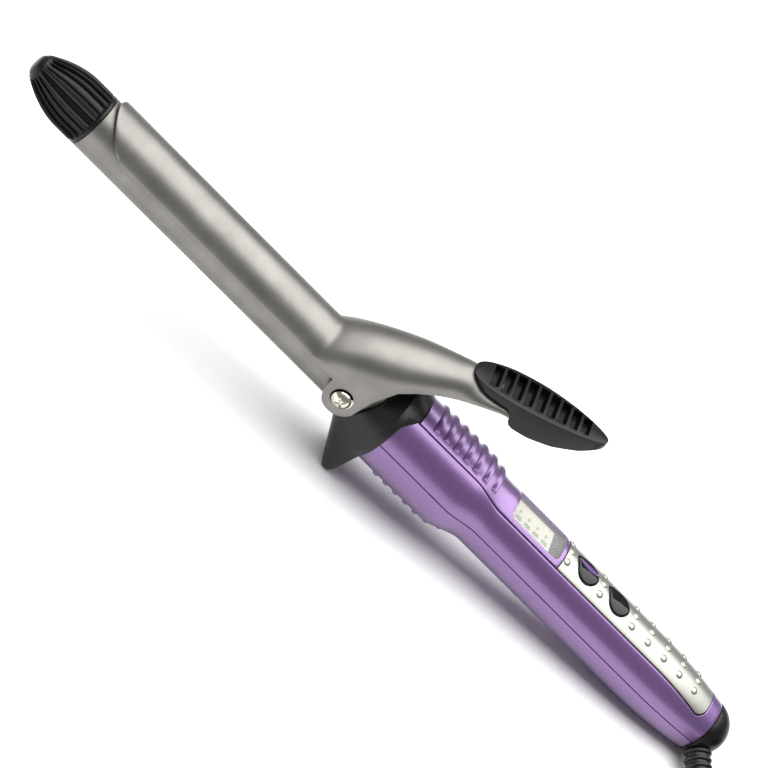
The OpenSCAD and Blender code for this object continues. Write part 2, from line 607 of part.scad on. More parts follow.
lay() tip_cap();
lay() barrel();
lay() heater_plate();
lay() heat_spreaders();
lay() temperature_sensor();
lay() thermal_fuse();
lay() heater_leads();
lay() barrel_insulator();
lay() barrel_socket();
lay() pivot_bosses();
lay() pivot_screws();
lay() pivot_washers();
lay() clip();
lay() thumb_grip();
lay() grip_rivets();
lay() clip_spring();
lay() heat_shield();
lay() upper_housing();
lay() lower_housing();
lay() top_inlay();
lay() display_window();
lay() lcd_bezel();
lay() lcd_module();
lay() control_panel();
lay() power_button();
lay() heat_button();
lay() circuit_board();
lay() triac();
lay() board_capacitor();
lay() tact_switches();
lay() housing_screws();
lay() contact_springs();
lay() swivel_ball();
lay() slip_rings();
strain_relief();
cord_lead();
cord_hank();
cord_end();
hank_tie();
plug_body();
plug_blades();
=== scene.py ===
"""Looks of the curling iron: detailed shells, ribs, flutes, cord and materials round the fixed CAD frame."""

import json
import math

import bmesh
import bpy
from mathutils import Matrix, Vector


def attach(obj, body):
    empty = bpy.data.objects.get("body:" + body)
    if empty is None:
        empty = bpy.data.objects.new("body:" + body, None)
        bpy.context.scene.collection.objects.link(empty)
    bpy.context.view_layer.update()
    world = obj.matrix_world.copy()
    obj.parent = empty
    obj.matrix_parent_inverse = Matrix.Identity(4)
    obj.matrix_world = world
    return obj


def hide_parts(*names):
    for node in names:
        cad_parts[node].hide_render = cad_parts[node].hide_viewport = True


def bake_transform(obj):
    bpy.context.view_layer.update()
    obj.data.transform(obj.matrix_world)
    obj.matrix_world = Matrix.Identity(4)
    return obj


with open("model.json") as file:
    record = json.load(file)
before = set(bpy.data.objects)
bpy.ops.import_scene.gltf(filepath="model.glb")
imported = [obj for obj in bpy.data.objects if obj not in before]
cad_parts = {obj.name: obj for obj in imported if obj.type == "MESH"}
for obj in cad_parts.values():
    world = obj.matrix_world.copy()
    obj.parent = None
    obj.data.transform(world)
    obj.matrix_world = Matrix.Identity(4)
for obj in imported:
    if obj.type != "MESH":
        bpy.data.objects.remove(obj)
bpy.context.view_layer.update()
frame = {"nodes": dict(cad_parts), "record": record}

MM = 0.001


# ---- Sizes in millimetres along the iron's own axis, the same as the CAD's ----
BARREL_R = 9.525
BARREL_WALL = 0.925
BARREL_END = 168
TIP_LEN = 25
NOSE_R = 3.6
COLLAR_X = 144.5
PIVOT_X = 137.2
PLATE_X = 152.7
HANDLE_X = 155.3
TAIL_X = 299
BULGE_R = 15
BULGE_DROP = 1.1
SLIM_R = 12.3
NECK = (184.5, 198.5)
TAPER_X = 270
TAIL_DROP = 2.4
WALL = 1.8
SEAM = 0.17
INLAY_HALF = 8.2
INLAY_START = 159.3
INLAY_END = 224.1
PANEL_END = 294
PANEL_T = 1.5
PANEL_CORNER = 3
WINDOW_X = (201.4, 222.6)
WINDOW_HALF = 6.7
WINDOW_CORNER = 1.5
RIB_FIRST = 163.8
RIB_PITCH = 4.4
RIB_COUNT = 7
RIB_H = 0.9
RIB_BACK = 1.5
RIB_ROOT = 0.4
RIB_STEPS = 44
BUTTON_X = (232.95, 247.45)
BUTTON_GAP = 0.25
SWITCH_TOP = 8.7
DOT_FIRST = INLAY_END + 1.4
DOT_PITCH = 7.575
DOT_ROWS = 3
DOT_COLUMNS = 9
DOT_ANGLE = 22
DOTS_BY_BUTTONS = 5
CLIP_T = 0.7
CLIP_OUT = BARREL_R + 0.15 + CLIP_T
CLIP_ANGLE = 74
KINK_X = PIVOT_X - 15.7
EAR_R = 6.6
EAR_Y = BARREL_R + 1.05
PAD_X = PIVOT_X + 19.8
PAD_H = 35
PAD_LEN = 46.5
PAD_W = 15.8
PAD_SLOPE = 19
SHIELD_R = 16
FOOT_HALF = 8.5
COLLAR_R = BARREL_R + 1.6
COLLAR_LEAN = 0.36
CORD_D = 6
DOME_R = SLIM_R - TAIL_DROP - 0.1

# The iron lies tilted on its stand foot: the clip's pivot and the swivel's axis say how
JOINTS = {j["name"]: j for j in frame["record"]["behaviour"]["joints"]}
TILT = math.asin(JOINTS["cord_swivel"]["axis"][2])
PIVOT_ROW = Vector(JOINTS["clip_pivot"]["pos_m"]) / MM
X_MID = PIVOT_X * math.cos(TILT) - PIVOT_ROW.x
AXIS_DROP = PIVOT_ROW.z + PIVOT_X * math.sin(TILT)
TURN = Matrix.Rotation(TILT, 4, "Y")
LAY = Matrix.Scale(MM, 4) @ Matrix.Translation((-X_MID, 0, AXIS_DROP)) @ TURN


def lay(x, y, z):
    """A place on the iron, in millimetres, as a point of the row frame in metres."""
    return LAY @ Vector((x, y, z))


def ease(t):
    """A smooth step from 0 to 1."""
    t = min(1, max(0, t))
    return t * t * (3 - 2 * t)


def steps(a, b, n):
    """The ends and the even steps between them."""
    return [a + (b - a) * k / n for k in range(n + 1)]


def lookup(x, table):
    """Straight-line interpolation in pairs, held level past both ends."""
    if x <= table[0][0]:
        return table[0][1]
    for (x0, y0), (x1, y1) in zip(table, table[1:]):
        if x <= x1:
            return y0 + (y1 - y0) * (x - x0) / (x1 - x0)
    return table[-1][1]


# ---- Camera, at the height and turn of the reference view ----
AIM = (146, 3.16, 4.5)
VIEW_RIGHT = Vector((0.9637, -0.2186, 0.1533))
VIEW_UP = Vector((0, 0.574, 0.819))
CAMERA_AWAY = 1.1
CAMERA_MM = 167.6


def make_camera():
    """A long lens from in front and above, rolled so that the iron lies along the picture's diagonal."""
    turn = TURN.to_3x3()
    x = turn @ ((VIEW_RIGHT + VIEW_UP) / math.sqrt(2))
    y = turn @ ((VIEW_UP - VIEW_RIGHT) / math.sqrt(2))
    z = x.cross(y).normalized()
    camera = bpy.data.objects.new("camera", bpy.data.cameras.new("camera"))
    camera.data.lens = CAMERA_MM
    camera.data.sensor_width = 36
    camera.data.clip_end = 20
    y = z.cross(x).normalized()
    place = Matrix((x.normalized(), y, z)).transposed().to_4x4()
    place.translation = lay(*AIM) + z * CAMERA_AWAY
    camera.matrix_world = place
    bpy.context.collection.objects.link(camera)
    bpy.context.scene.camera = camera


make_camera()


# ---- Materials ----
NOISE_LOW, NOISE_HIGH = 0.3, 0.7


def linear(hex_colour):
    """An sRGB hex value as linear red, green, blue, alpha."""
    channels = [int(hex_colour[k : k + 2], 16) / 255 for k in (1, 3, 5)]
    return tuple(c / 12.92 if c <= 0.04045 else ((c + 0.055) / 1.055) ** 2.4 for c in channels) + (1,)


def add(tree, kind, links=(), **values):
    """A node of a kind with its properties set, and links given as (input name, socket or constant)."""
    node = tree.nodes.new(kind)
    for key, value in values.items():
        setattr(node, key, value)
    for name, source in links:
        if isinstance(source, bpy.types.NodeSocket):
            tree.links.new(source, node.inputs[name])
        else:
            node.inputs[name].default_value = source
    return node


def new_material(name, base, **constants):
    """A Principled material with its constants on the shader's own sockets, and its Object coordinates."""
    material = bpy.data.materials.new(name)
    material.use_nodes = True
    tree = material.node_tree
    shader = tree.nodes["Principled BSDF"]
    shader.inputs["Base Color"].default_value = linear(base)
    for key, value in constants.items():
        shader.inputs[key.replace("_", " ")].default_value = value
    where = add(tree, "ShaderNodeTexCoord").outputs["Object"]
    return material, tree, shader, where


def noise(tree, where, size_mm, detail=2.0, stretch=(1, 1, 1)):
    """Noise whose grains are about size_mm across, stretched along the axes."""
    scale = [s / (size_mm * MM) for s in stretch]
    scaled = add(tree, "ShaderNodeMapping", [("Vector", where), ("Scale", scale)]).outputs[0]
    links = [("Vector", scaled), ("Scale", 1.0), ("Detail", detail)]
    return add(tree, "ShaderNodeTexNoise", links).outputs[0]


def span(tree, source, low, high):
    """Spreads the middle of a noise, where most of its values lie, over a range."""
    ends = [("From Min", NOISE_LOW), ("From Max", NOISE_HIGH), ("To Min", low), ("To Max", high)]
    return add(tree, "ShaderNodeMapRange", [("Value", source), *ends]).outputs[0]


def between(tree, factor, dark, light):
    """A colour between two, by a factor from 0 to 1."""
    mix = add(tree, "ShaderNodeMix", [("Factor", factor)], data_type="RGBA")
    mix.inputs["A"].default_value = linear(dark)
    mix.inputs["B"].default_value = linear(light)
    return next(s for s in mix.outputs if s.type == "RGBA")


def bumps(tree, shader, height, depth_mm):
    """Relief of the surface, from a noise and its depth."""
    links = [("Height", height), ("Strength", 1.0), ("Distance", depth_mm * MM)]
    node = add(tree, "ShaderNodeBump", links)
    tree.links.new(node.outputs[0], shader.inputs["Normal"])


def ceramic_coating():
    """Ceramic-filled coating sprayed on aluminium: warm grey satin metal with a fine grain from the spray."""
    material, tree, shader, where = new_material("ceramic_coated_aluminium", "#82807C", Metallic=0.92)
    grain = noise(tree, where, 0.25, 3)
    cloud = noise(tree, where, 9)
    tree.links.new(between(tree, span(tree, cloud, 0, 1), "#7B7975", "#888682"), shader.inputs["Base Color"])
    tree.links.new(span(tree, grain, 0.36, 0.46), shader.inputs["Roughness"])
    bumps(tree, shader, grain, 0.012)
    return material


def pearl_lacquer(name, dark, light, metallic, roughness):
    """Pearl lacquer sprayed on moulded ABS: mica flakes under a clear coat, so bands of light look soft."""
    lacquer = {"Coat_Weight": 1.0, "Coat_Roughness": 0.22}
    material, tree, shader, where = new_material(name, light, Metallic=metallic, **lacquer)
    flakes = noise(tree, where, 0.12, 1)
    orange_peel = noise(tree, where, 1.8, 1)
    tree.links.new(between(tree, span(tree, flakes, 0, 1), dark, light), shader.inputs["Base Color"])
    tree.links.new(span(tree, flakes, roughness - 0.04, roughness + 0.04), shader.inputs["Roughness"])
    bumps(tree, shader, orange_peel, 0.008)
    return material


def moulded(name, base, roughness, grain_mm=0.35, depth_mm=0.02, sheen=0.5):
    """Injection-moulded plastic: the mould's spark-eroded face leaves a fine grain that breaks up highlights."""
    gloss = {"Roughness": roughness, "IOR": 1.5, "Specular_IOR_Level": sheen}
    material, tree, shader, where = new_material(name, base, **gloss)
    grain = noise(tree, where, grain_mm, 2)
    tree.links.new(span(tree, grain, roughness - 0.05, roughness + 0.05), shader.inputs["Roughness"])
    bumps(tree, shader, grain, depth_mm)
    return material


def plated(name, base, roughness, stretch=(1, 1, 1)):
    """Plated or rolled metal: bright, with faint wear that varies the gloss from place to place."""
    material, tree, shader, where = new_material(name, base, Metallic=1.0)
    wear = noise(tree, where, 0.8, 3, stretch)
    tree.links.new(span(tree, wear, roughness - 0.05, roughness + 0.08), shader.inputs["Roughness"])
    bumps(tree, shader, wear, 0.005)
    return material


def polished(name, base, **constants):
    """Mirror-polished mould surface: gloss plastic with only a slow waviness to its reflections."""
    material, tree, shader, where = new_material(name, base, Roughness=0.08, **constants)
    bumps(tree, shader, noise(tree, where, 4, 1), 0.01)
    return material


# Sprayed ceramic: broad soft bands of light along the barrel, with a faint grain in them
COATING = ceramic_coating()
# Violet mica under clear lacquer: lilac where it faces the light, deep purple where it turns away
PURPLE = pearl_lacquer("pearl_lacquered_abs", "#6C4A84", "#8B6CA0", 0.72, 0.34)
# Silver flake under clear lacquer: almost white on top, grey down its sides
SILVER = pearl_lacquer("silver_lacquered_abs", "#94948D", "#A8A8A1", 0.85, 0.36)
# Heat-proof polyester: near black, with a thin dull highlight along each rib of the tip cap
BLACK_PP = moulded("moulded_heat_proof_pet", "#0D0D0E", 0.36, sheen=0.3)
# Glass-filled nylon: a charcoal that shows the shield's flare in slow grey shading
BLACK_NYLON = moulded("moulded_glass_filled_nylon", "#151617", 0.36, sheen=0.35)
# Unfilled nylon: darker and smoother than the shield, so the slots read by their bright rims
GRIP_NYLON = moulded("moulded_grip_nylon", "#0C0C0D", 0.32, sheen=0.28)
# Extruded vinyl: a soft even sheen along the cord, without sharp highlights
VINYL = moulded("extruded_soft_vinyl", "#0E0F0F", 0.45, 0.6, 0.015)
# Moulded ABS: plain dark frame, tie and switch bodies
BEZEL = moulded("moulded_dark_abs", "#101011", 0.3)
# Polished moulds: buttons that mirror the soft light as one clean shape
GLOSS_BLACK = polished("polished_black_abs", "#0E0F10", IOR=1.5, Specular_IOR_Level=0.3)
PURPLE_GLOSS = polished("polished_purple_abs", "#5E3C7C", IOR=1.5, Specular_IOR_Level=0.5)
# Display: a flat greenish-grey reflector with dull dark figures on it
LCD = moulded("lcd_rear_reflector", "#BDBDAE", 0.55, 0.2, 0.002)
LCD_INK = moulded("lcd_segments", "#22221F", 0.5, 0.2, 0.001)
# Bright metals: nickel sparkles on the pivot screws, zinc and rolled steel stay greyer
NICKEL = plated("nickel_plated_steel", "#D8D3C8", 0.18)
ZINC = plated("zinc_plated_steel", "#B4B6B8", 0.3)
SPRING_STEEL = plated("rolled_spring_steel", "#9A9A9C", 0.3, (1, 8, 1))
BRASS = plated("stamped_brass", "#C9A25A", 0.25)
# Clear acrylic: only its glints show over the display
WINDOW = polished("polished_clear_acrylic", "#F4F6F2", IOR=1.49, Alpha=0.12)
# Inside the iron: chalky ceramic, green board, woven sleeving, amber film, brown epoxy, dull aluminium
CERAMIC = moulded("fired_alumina", "#E8E4DA", 0.6)
BOARD = moulded("solder_masked_laminate", "#14532A", 0.35)
SLEEVE = moulded("braided_glass_sleeving", "#DDD8CC", 0.7, 0.5, 0.1)
CAPACITOR = polished("dipped_polyester_film", "#A8762A", IOR=1.5)
FUSE = moulded("pressed_fuse_case", "#B89C68", 0.45)
SENSOR = moulded("dipped_sensor_epoxy", "#9A5A1E", 0.3)
ALUMINIUM = plated("extruded_aluminium", "#C8C9CC", 0.35, (0.1, 3, 3))
CAD_LOOKS = {
    COATING: ("pivot_bosses",),
    LCD: ("lcd_module",),
    WINDOW: ("display_window",),
    NICKEL: ("pivot_screws", "pivot_washers", "grip_rivets"),
    ZINC: ("housing_screws",),
    CERAMIC: ("heater_plate", "barrel_insulator", "barrel_socket"),
    ALUMINIUM: ("heat_spreaders",),
    SENSOR: ("temperature_sensor",),
    FUSE: ("thermal_fuse",),
    SLEEVE: ("heater_leads",),
    BOARD: ("circuit_board",),
    BEZEL: ("triac", "tact_switches", "lcd_bezel", "hank_tie"),
    VINYL: ("plug_body",),
    CAPACITOR: ("board_capacitor",),
    BRASS: ("contact_springs", "slip_rings", "plug_blades"),
}


def dress_cad_nodes():
    """Gives the nodes that keep their CAD shape their materials."""
    for material, names in CAD_LOOKS.items():
        for name in names:
            mesh = frame["nodes"][name].data
            mesh.materials.clear()
            mesh.materials.append(material)


# ---- Mesh helpers: everything is drawn in millimetres on the iron's own axis, then laid down ----
def placed(name, data):
    """A new object in the scene."""
    obj = bpy.data.objects.new(name, data)
    bpy.context.collection.objects.link(obj)
    return obj


def raw(name, points, faces, material=None):
    """A mesh object of points and faces, drawn as given."""
    mesh = bpy.data.meshes.new(name)
    mesh.from_pydata([tuple(p) for p in points], [], faces)
    mesh.validate()
    obj = placed(name, mesh)
    if material:
        mesh.materials.append(material)
    return obj


def grid_faces(rows, cols, wrap, skip=None):
    """Four-sided faces between rows of points; skip(i, j) leaves some out."""
    faces = []
    for i in range(rows - 1):
        for j in range(cols if wrap else cols - 1):
            if skip and skip(i, j):
                continue
            k = (j + 1) % cols
            faces.append((i * cols + j, i * cols + k, (i + 1) * cols + k, (i + 1) * cols + j))
    return faces


def sheet(name, rows, material, skip=None):
    """An open surface through rows of points, facing away from the iron's axis."""
    faces = grid_faces(len(rows), len(rows[0]), False, skip)
    obj = raw(name, [p for row in rows for p in row], faces, material)
    outwards(obj.data)
    first = obj.data.polygons[0]
    from_axis = obj.data.vertices[first.vertices[0]].co * Vector((0, 1, 1))
    if first.normal.dot(from_axis) < 0:
        obj.data.flip_normals()
    return obj


def skin(name, rings, material, caps=True):
    """A closed solid through rings that each have the same number of points."""
    n = len(rings[0])
    faces = grid_faces(len(rings), n, True)
    if caps:
        faces += [tuple(reversed(range(n))), tuple((len(rings) - 1) * n + k for k in range(n))]
    obj = raw(name, [p for ring in rings for p in ring], faces, material)
    outwards(obj.data)
    return obj


def outwards(mesh, merge_mm=1e-4):
    """Weld doubles, drop loose points and turn every normal outwards."""
    bm = bmesh.new()
    bm.from_mesh(mesh)
    bmesh.ops.remove_doubles(bm, verts=bm.verts, dist=merge_mm)
    bmesh.ops.delete(bm, geom=[v for v in bm.verts if not v.link_faces], context="VERTS")
    bmesh.ops.recalc_face_normals(bm, faces=bm.faces)
    bm.to_mesh(mesh)
    bm.free()


def around(n):
    """Angles evenly round a full turn."""
    return [2 * math.pi * k / n for k in range(n)]


def turned(name, profile, material, n=128):
    """A body of revolution round the iron's axis from (x, radius) points; a zero radius closes a pole."""
    rings = [[(x, r * math.sin(a), r * math.cos(a)) for a in around(n)] for x, r in profile]
    return skin(name, rings, material, caps=False)


def modify(obj, kind, **values):
    """A modifier of a kind with its values set."""
    modifier = obj.modifiers.new(kind.lower(), kind)
    for key, value in values.items():
        setattr(modifier, key, value)
    return modifier


def bevelled(obj, width, segments=2, degrees=35):
    """Rounds the edges that are sharper than an angle."""
    modify(obj, "BEVEL", width=width, segments=segments, limit_method="ANGLE",
           angle_limit=math.radians(degrees), harden_normals=False)
    return obj


def shell(obj, thickness, width=0.18):
    """Gives an open surface its wall, inwards, and eases the edges."""
    modify(obj, "SOLIDIFY", thickness=thickness, offset=-1, use_even_offset=True)
    return bevelled(obj, width, 2, 50)


def plain(obj, degrees=38):
    """The object with its modifiers baked in and edges sharper than an angle kept sharp."""
    bpy.context.view_layer.update()
    depsgraph = bpy.context.evaluated_depsgraph_get()
    baked = obj.evaluated_get(depsgraph)
    mesh = bpy.data.meshes.new_from_object(baked, preserve_all_data_layers=True, depsgraph=depsgraph)
    obj.modifiers.clear()
    obj.data = mesh
    mesh.polygons.foreach_set("use_smooth", [True] * len(mesh.polygons))
    mesh.set_sharp_from_angle(angle=math.radians(degrees))
    return obj


def join(name, objs):
    """One object of several, each keeping its materials."""
    chosen = {"selected_objects": objs, "selected_editable_objects": objs}
    with bpy.context.temp_override(active_object=objs[0], object=objs[0], **chosen):
        bpy.ops.object.join()
    objs[0].name = name
    objs[0].data.name = name
    return objs[0]


def settle(name, objs, nodes, body=None, laid=True, degrees=38):
    """Bakes and joins a piece's parts, lays them down and has them stand for their CAD nodes."""
    piece = join(name, [plain(o, degrees) for o in objs]) if len(objs) > 1 else plain(objs[0], degrees)
    piece.name = name
    piece.data.transform(LAY if laid else Matrix.Scale(MM, 4))
    if nodes:
        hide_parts(*nodes)
    if body:
        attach(piece, body)
    return piece


# ---- Geometry Nodes: what repeats ----
def node_tree(name, **inputs):
    """An empty tree with a geometry in and out; Count is a whole number and its other inputs are sizes."""
    tree = bpy.data.node_groups.new(name, "GeometryNodeTree")
    tree.interface.new_socket("Geometry", in_out="INPUT", socket_type="NodeSocketGeometry")
    for key, default in inputs.items():
        kind = "NodeSocketInt" if key == "Count" else "NodeSocketFloat"
        label = key.replace("_", " ")
        tree.interface.new_socket(label, in_out="INPUT", socket_type=kind).default_value = default
    tree.interface.new_socket("Geometry", in_out="OUTPUT", socket_type="NodeSocketGeometry")
    return tree, add(tree, "NodeGroupInput").outputs


def output(tree, instances, material):
    """Realises the instances, sets their material and hands them out."""
    real = add(tree, "GeometryNodeRealizeInstances", [("Geometry", instances)])
    painted = add(tree, "GeometryNodeSetMaterial", [("Geometry", real.outputs[0]), ("Material", material)])
    add(tree, "NodeGroupOutput", [("Geometry", painted.outputs[0])])


def repeat(obj, tree, **values):
    """Adds a tree to an object; values are set by the sockets' identifiers before it is first evaluated."""
    modifier = obj.modifiers.new(tree.name, "NODES")
    modifier.node_group = tree
    for socket in tree.interface.items_tree:
        key = socket.name.replace(" ", "_")
        if socket.item_type == "SOCKET" and socket.in_out == "INPUT" and key in values:
            modifier[socket.identifier] = values[key]
    return obj


def calc(tree, operation, a, b=0.0):
    """The result of a maths node on sockets or constants."""
    node = add(tree, "ShaderNodeMath", operation=operation)
    for socket, value in zip(node.inputs, (a, b)):
        if isinstance(value, bpy.types.NodeSocket):
            tree.links.new(value, socket)
        else:
            socket.default_value = value
    return node.outputs[0]


def vector(tree, **parts):
    """A vector of the parts given as X, Y and Z; the others are zero."""
    return add(tree, "ShaderNodeCombineXYZ", list(parts.items())).outputs[0]


def index_of(tree):
    """Which copy it is, counted from nought."""
    return add(tree, "GeometryNodeInputIndex").outputs[0]


def in_step(tree, given, count_by):
    """A place along the axis: the first one and as many pitches more."""
    return calc(tree, "ADD", calc(tree, "MULTIPLY", count_by, given["Pitch"]), given["First"])


def points_at(tree, count, place):
    """Points, each set at the place that is worked out from its index."""
    line = add(tree, "GeometryNodeMeshLine", [("Count", count)]).outputs[0]
    return add(tree, "GeometryNodeSetPosition", [("Geometry", line), ("Position", place)]).outputs[0]


def copies(tree, given, points, **turns):
    """The incoming unit on each point, with its Rotation or Scale."""
    links = [("Points", points), ("Instance", given["Geometry"]), *turns.items()]
    return add(tree, "GeometryNodeInstanceOnPoints", links).outputs[0]


def round_tree(material):
    """Copies of the unit, evenly turned about the X axis."""
    tree, given = node_tree("repeat_round", Count=20)
    line = add(tree, "GeometryNodeMeshLine", [("Count", given["Count"]), ("Offset", (0, 0, 0))]).outputs[0]
    share = calc(tree, "DIVIDE", index_of(tree), given["Count"])
    turn = vector(tree, X=calc(tree, "MULTIPLY", share, 2 * math.pi))
    output(tree, copies(tree, given, line, Rotation=turn), material)
    return tree


def neck_tree(material):
    """Copies of the unit along the axis, drawn in and raised as the grip necks down to the slim handle."""
    tree, given = node_tree("repeat_down_neck", Count=RIB_COUNT, First=RIB_FIRST, Pitch=RIB_PITCH,
                            Neck_Start=NECK[0], Neck_End=NECK[1], Slim_Share=SLIM_R / BULGE_R,
                            Drop=BULGE_DROP)
    x = in_step(tree, given, index_of(tree))
    ends = [("From Min", given["Neck Start"]), ("From Max", given["Neck End"])]
    neck = add(tree, "ShaderNodeMapRange", [("Value", x), *ends], interpolation_type="SMOOTHSTEP").outputs[0]
    loss = calc(tree, "MULTIPLY", neck, calc(tree, "SUBTRACT", 1.0, given["Slim Share"]))
    shrink = calc(tree, "SUBTRACT", 1.0, loss)
    drop = calc(tree, "MULTIPLY", calc(tree, "SUBTRACT", neck, 1.0), given["Drop"])
    points = points_at(tree, given["Count"], vector(tree, X=x, Z=drop))
    size = vector(tree, X=1.0, Y=shrink, Z=shrink)
    output(tree, copies(tree, given, points, Scale=size), material)
    return tree


def line_tree(material):
    """Copies of the unit at an even pitch along the axis, from a first place."""
    tree, given = node_tree("repeat_in_line", Count=2, First=0, Pitch=1)
    points = points_at(tree, given["Count"], vector(tree, X=in_step(tree, given, index_of(tree))))
    output(tree, copies(tree, given, points), material)
    return tree


def path_tree(material):
    """Rings along the piece's own edge path, from one size to another."""
    tree, given = node_tree("rings_along_path", Count=7, First_Radius=4.4, Last_Radius=3.6, Bead=0.6)
    curve = add(tree, "GeometryNodeMeshToCurve", [("Mesh", given["Geometry"])]).outputs[0]
    places = add(tree, "GeometryNodeCurveToPoints", [("Curve", curve), ("Count", given["Count"])]).outputs
    share = calc(tree, "DIVIDE", index_of(tree), calc(tree, "SUBTRACT", given["Count"], 1.0))
    change = calc(tree, "SUBTRACT", given["Last Radius"], given["First Radius"])
    growth = calc(tree, "MULTIPLY", share, change)
    radius = calc(tree, "ADD", given["First Radius"], growth)
    ring = add(tree, "GeometryNodeCurvePrimitiveCircle", [("Resolution", 32), ("Radius", 1.0)]).outputs[0]
    size = vector(tree, X=radius, Y=radius, Z=radius)
    turn = places["Rotation"]
    rings = copies(tree, {"Geometry": ring}, places["Points"], Rotation=turn, Scale=size)
    real = add(tree, "GeometryNodeRealizeInstances", [("Geometry", rings)]).outputs[0]
    bead = [("Resolution", 10), ("Radius", given["Bead"])]
    profile = add(tree, "GeometryNodeCurvePrimitiveCircle", bead).outputs[0]
    beads = add(tree, "GeometryNodeCurveToMesh", [("Curve", real), ("Profile Curve", profile)]).outputs[0]
    output(tree, beads, material)
    return tree


# ---- Tip cap: a nose disc, twenty flutes and a smooth rim ----
FLUTES = 20
CAP_START = 0.5
CAP_ROUND = 17
FLUTE_END = 23.9
FLUTE_DEPTH = 1.2
FLUTE_SHARE = 0.23
RIB_START = 1.9


def cap_radius(x):
    """Radius of the cap over its ribs."""
    u = min(1, max(0, (x - CAP_START) / CAP_ROUND))
    return NOSE_R + (BARREL_R - NOSE_R) * math.sin(u * math.pi / 2) ** 0.85


def cap_floor(x):
    """Radius of the cap in its flutes, which run out at both ends."""
    return cap_radius(x) - FLUTE_DEPTH * ease((x - RIB_START) / 2.4) * ease((FLUTE_END - x) / 0.9)


def flute_ring(x, high):
    """Cross-section of one rib between flutes, at a place along the cap."""
    half = FLUTE_SHARE * 2 * math.pi / FLUTES
    ring = []
    for k in range(-4, 5):
        crest = math.cos(k / 4 * math.pi / 2) ** 0.75 if abs(k) < 4 else 0
        r = cap_floor(x) - 0.25 + (cap_radius(x) - cap_floor(x) + 0.25) * crest * high
        ring.append((x, r * math.sin(half * k / 4), r * math.cos(half * k / 4)))
    low = cap_floor(x) - 0.5
    return ring + [(x, low * math.sin(half * k), low * math.cos(half * k)) for k in (0.6, -0.6)]


def tip_cap():
    """The core with its nose disc and rim, and the ribs between its flutes."""
    xs = [CAP_START + (FLUTE_END - CAP_START) * (k / 40) ** 1.25 for k in range(41)]
    nose = [(0, 0), (0.02, 1.1), (0.14, 2.1), (0.42, 3.0), (0.85, 3.6), (1.3, 3.95)]
    body = nose + [(x, cap_floor(x)) for x in xs if x > 1.7]
    body += [(24.1, BARREL_R), (24.7, BARREL_R), (24.9, BARREL_R - 0.1), (TIP_LEN, BARREL_R - 0.35)]
    body += [(TIP_LEN, 6), (24, 0)]
    core = turned("cap_core", body, BLACK_PP)
    places = [RIB_START, 2.1, 2.5] + steps(3, 22.8, 26) + [23.3, 23.6]
    unit = skin("cap_rib", [flute_ring(x, 1 if 2 < x < 23.5 else 0.55) for x in places], BLACK_PP)
    repeat(unit, round_tree(BLACK_PP), Count=FLUTES)
    settle("fluted_tip_cap", [core, unit], ["tip_cap"], "handle", degrees=50)


def barrel():
    """The coated tube, from the tip cap into the handle."""
    start, bore = TIP_LEN + 0.05, BARREL_R - BARREL_WALL
    profile = [(start, bore), (start, 9.4), (start + 0.1, BARREL_R), (150, BARREL_R), (BARREL_END, BARREL_R)]
    profile += [(BARREL_END, bore)]
    tube = turned("barrel_tube", profile + [profile[0]], COATING, 160)
    settle("coated_barrel", [tube], ["barrel"], "handle")


# ---- Clip: a spoon over the barrel, the pivot ears and the arched arm ----
SPOON_EDGE = CLIP_OUT * math.cos(math.radians(CLIP_ANGLE))
ARM_EDGE = [(6.2, -2), (6.5, 6), (9, 15.5), (12.5, 19.5), (17, 23.2), (22.6, 27.1), (30, 32), (42, 39.5)]
TONGUE = 12
ARCH_STEPS = 20
WALL_STEPS = 8
UNDER_PAD = 2.0
TOE_IN = 0.05
ARM_NARROW = 4.4
ARCH_NARROW = 3.8
ARCH_END = 2.6
# Stations behind the pivot, from the back of the ear to the arm's end under the thumb grip
ARM_PLACES = (6.35, 6.6, 7.2, 8, 9, 10, 11.2, 12.6, 14, 15.5, 17, 19, 21, 23, 25, 28, 31, 34, 35.5, 37, 37.6)


def sunk(x):
    """How far the arm dips to pass under the slots of the thumb grip."""
    return UNDER_PAD * ease((x - PAD_X - 2) / 5)


def crown(x):
    """Height of the clip's ridge: level along the spoon, then rising in an arch to the thumb grip."""
    if x < KINK_X:
        return CLIP_OUT
    t = min(1, (x - KINK_X) / (PAD_X - KINK_X))
    rise = (PAD_H - 1 - CLIP_OUT) * (t * t * (1 + TOE_IN) / (t + TOE_IN)) ** 0.75
    return CLIP_OUT + rise + max(0, x - PAD_X) * math.tan(math.radians(PAD_SLOPE)) - sunk(x)


def edge(x):
    """Height of the clip's lower edge: the spoon's, round the ear, then up under the arm."""
    d = abs(x - PIVOT_X)
    if x < PIVOT_X - EAR_R:
        return SPOON_EDGE
    if x <= PIVOT_X + EAR_R * 0.94:
        lead_in = SPOON_EDGE * ease(d / EAR_R - 0.5) if x < PIVOT_X else 0
        return -math.sqrt(max(0, EAR_R * EAR_R - d * d)) + lead_in
    return lookup(x - PIVOT_X, ARM_EDGE)


def narrow(x):
    """Share by which the arm has narrowed behind the pivot."""
    return ease((x - PIVOT_X - 3) / 21)


def arm_half(x):
    """Half the clip's width: it widens for the ears, then narrows along the arm."""
    return CLIP_OUT + (EAR_Y + CLIP_T - CLIP_OUT) * ease((x - KINK_X + 4) / 8) - ARM_NARROW * narrow(x)


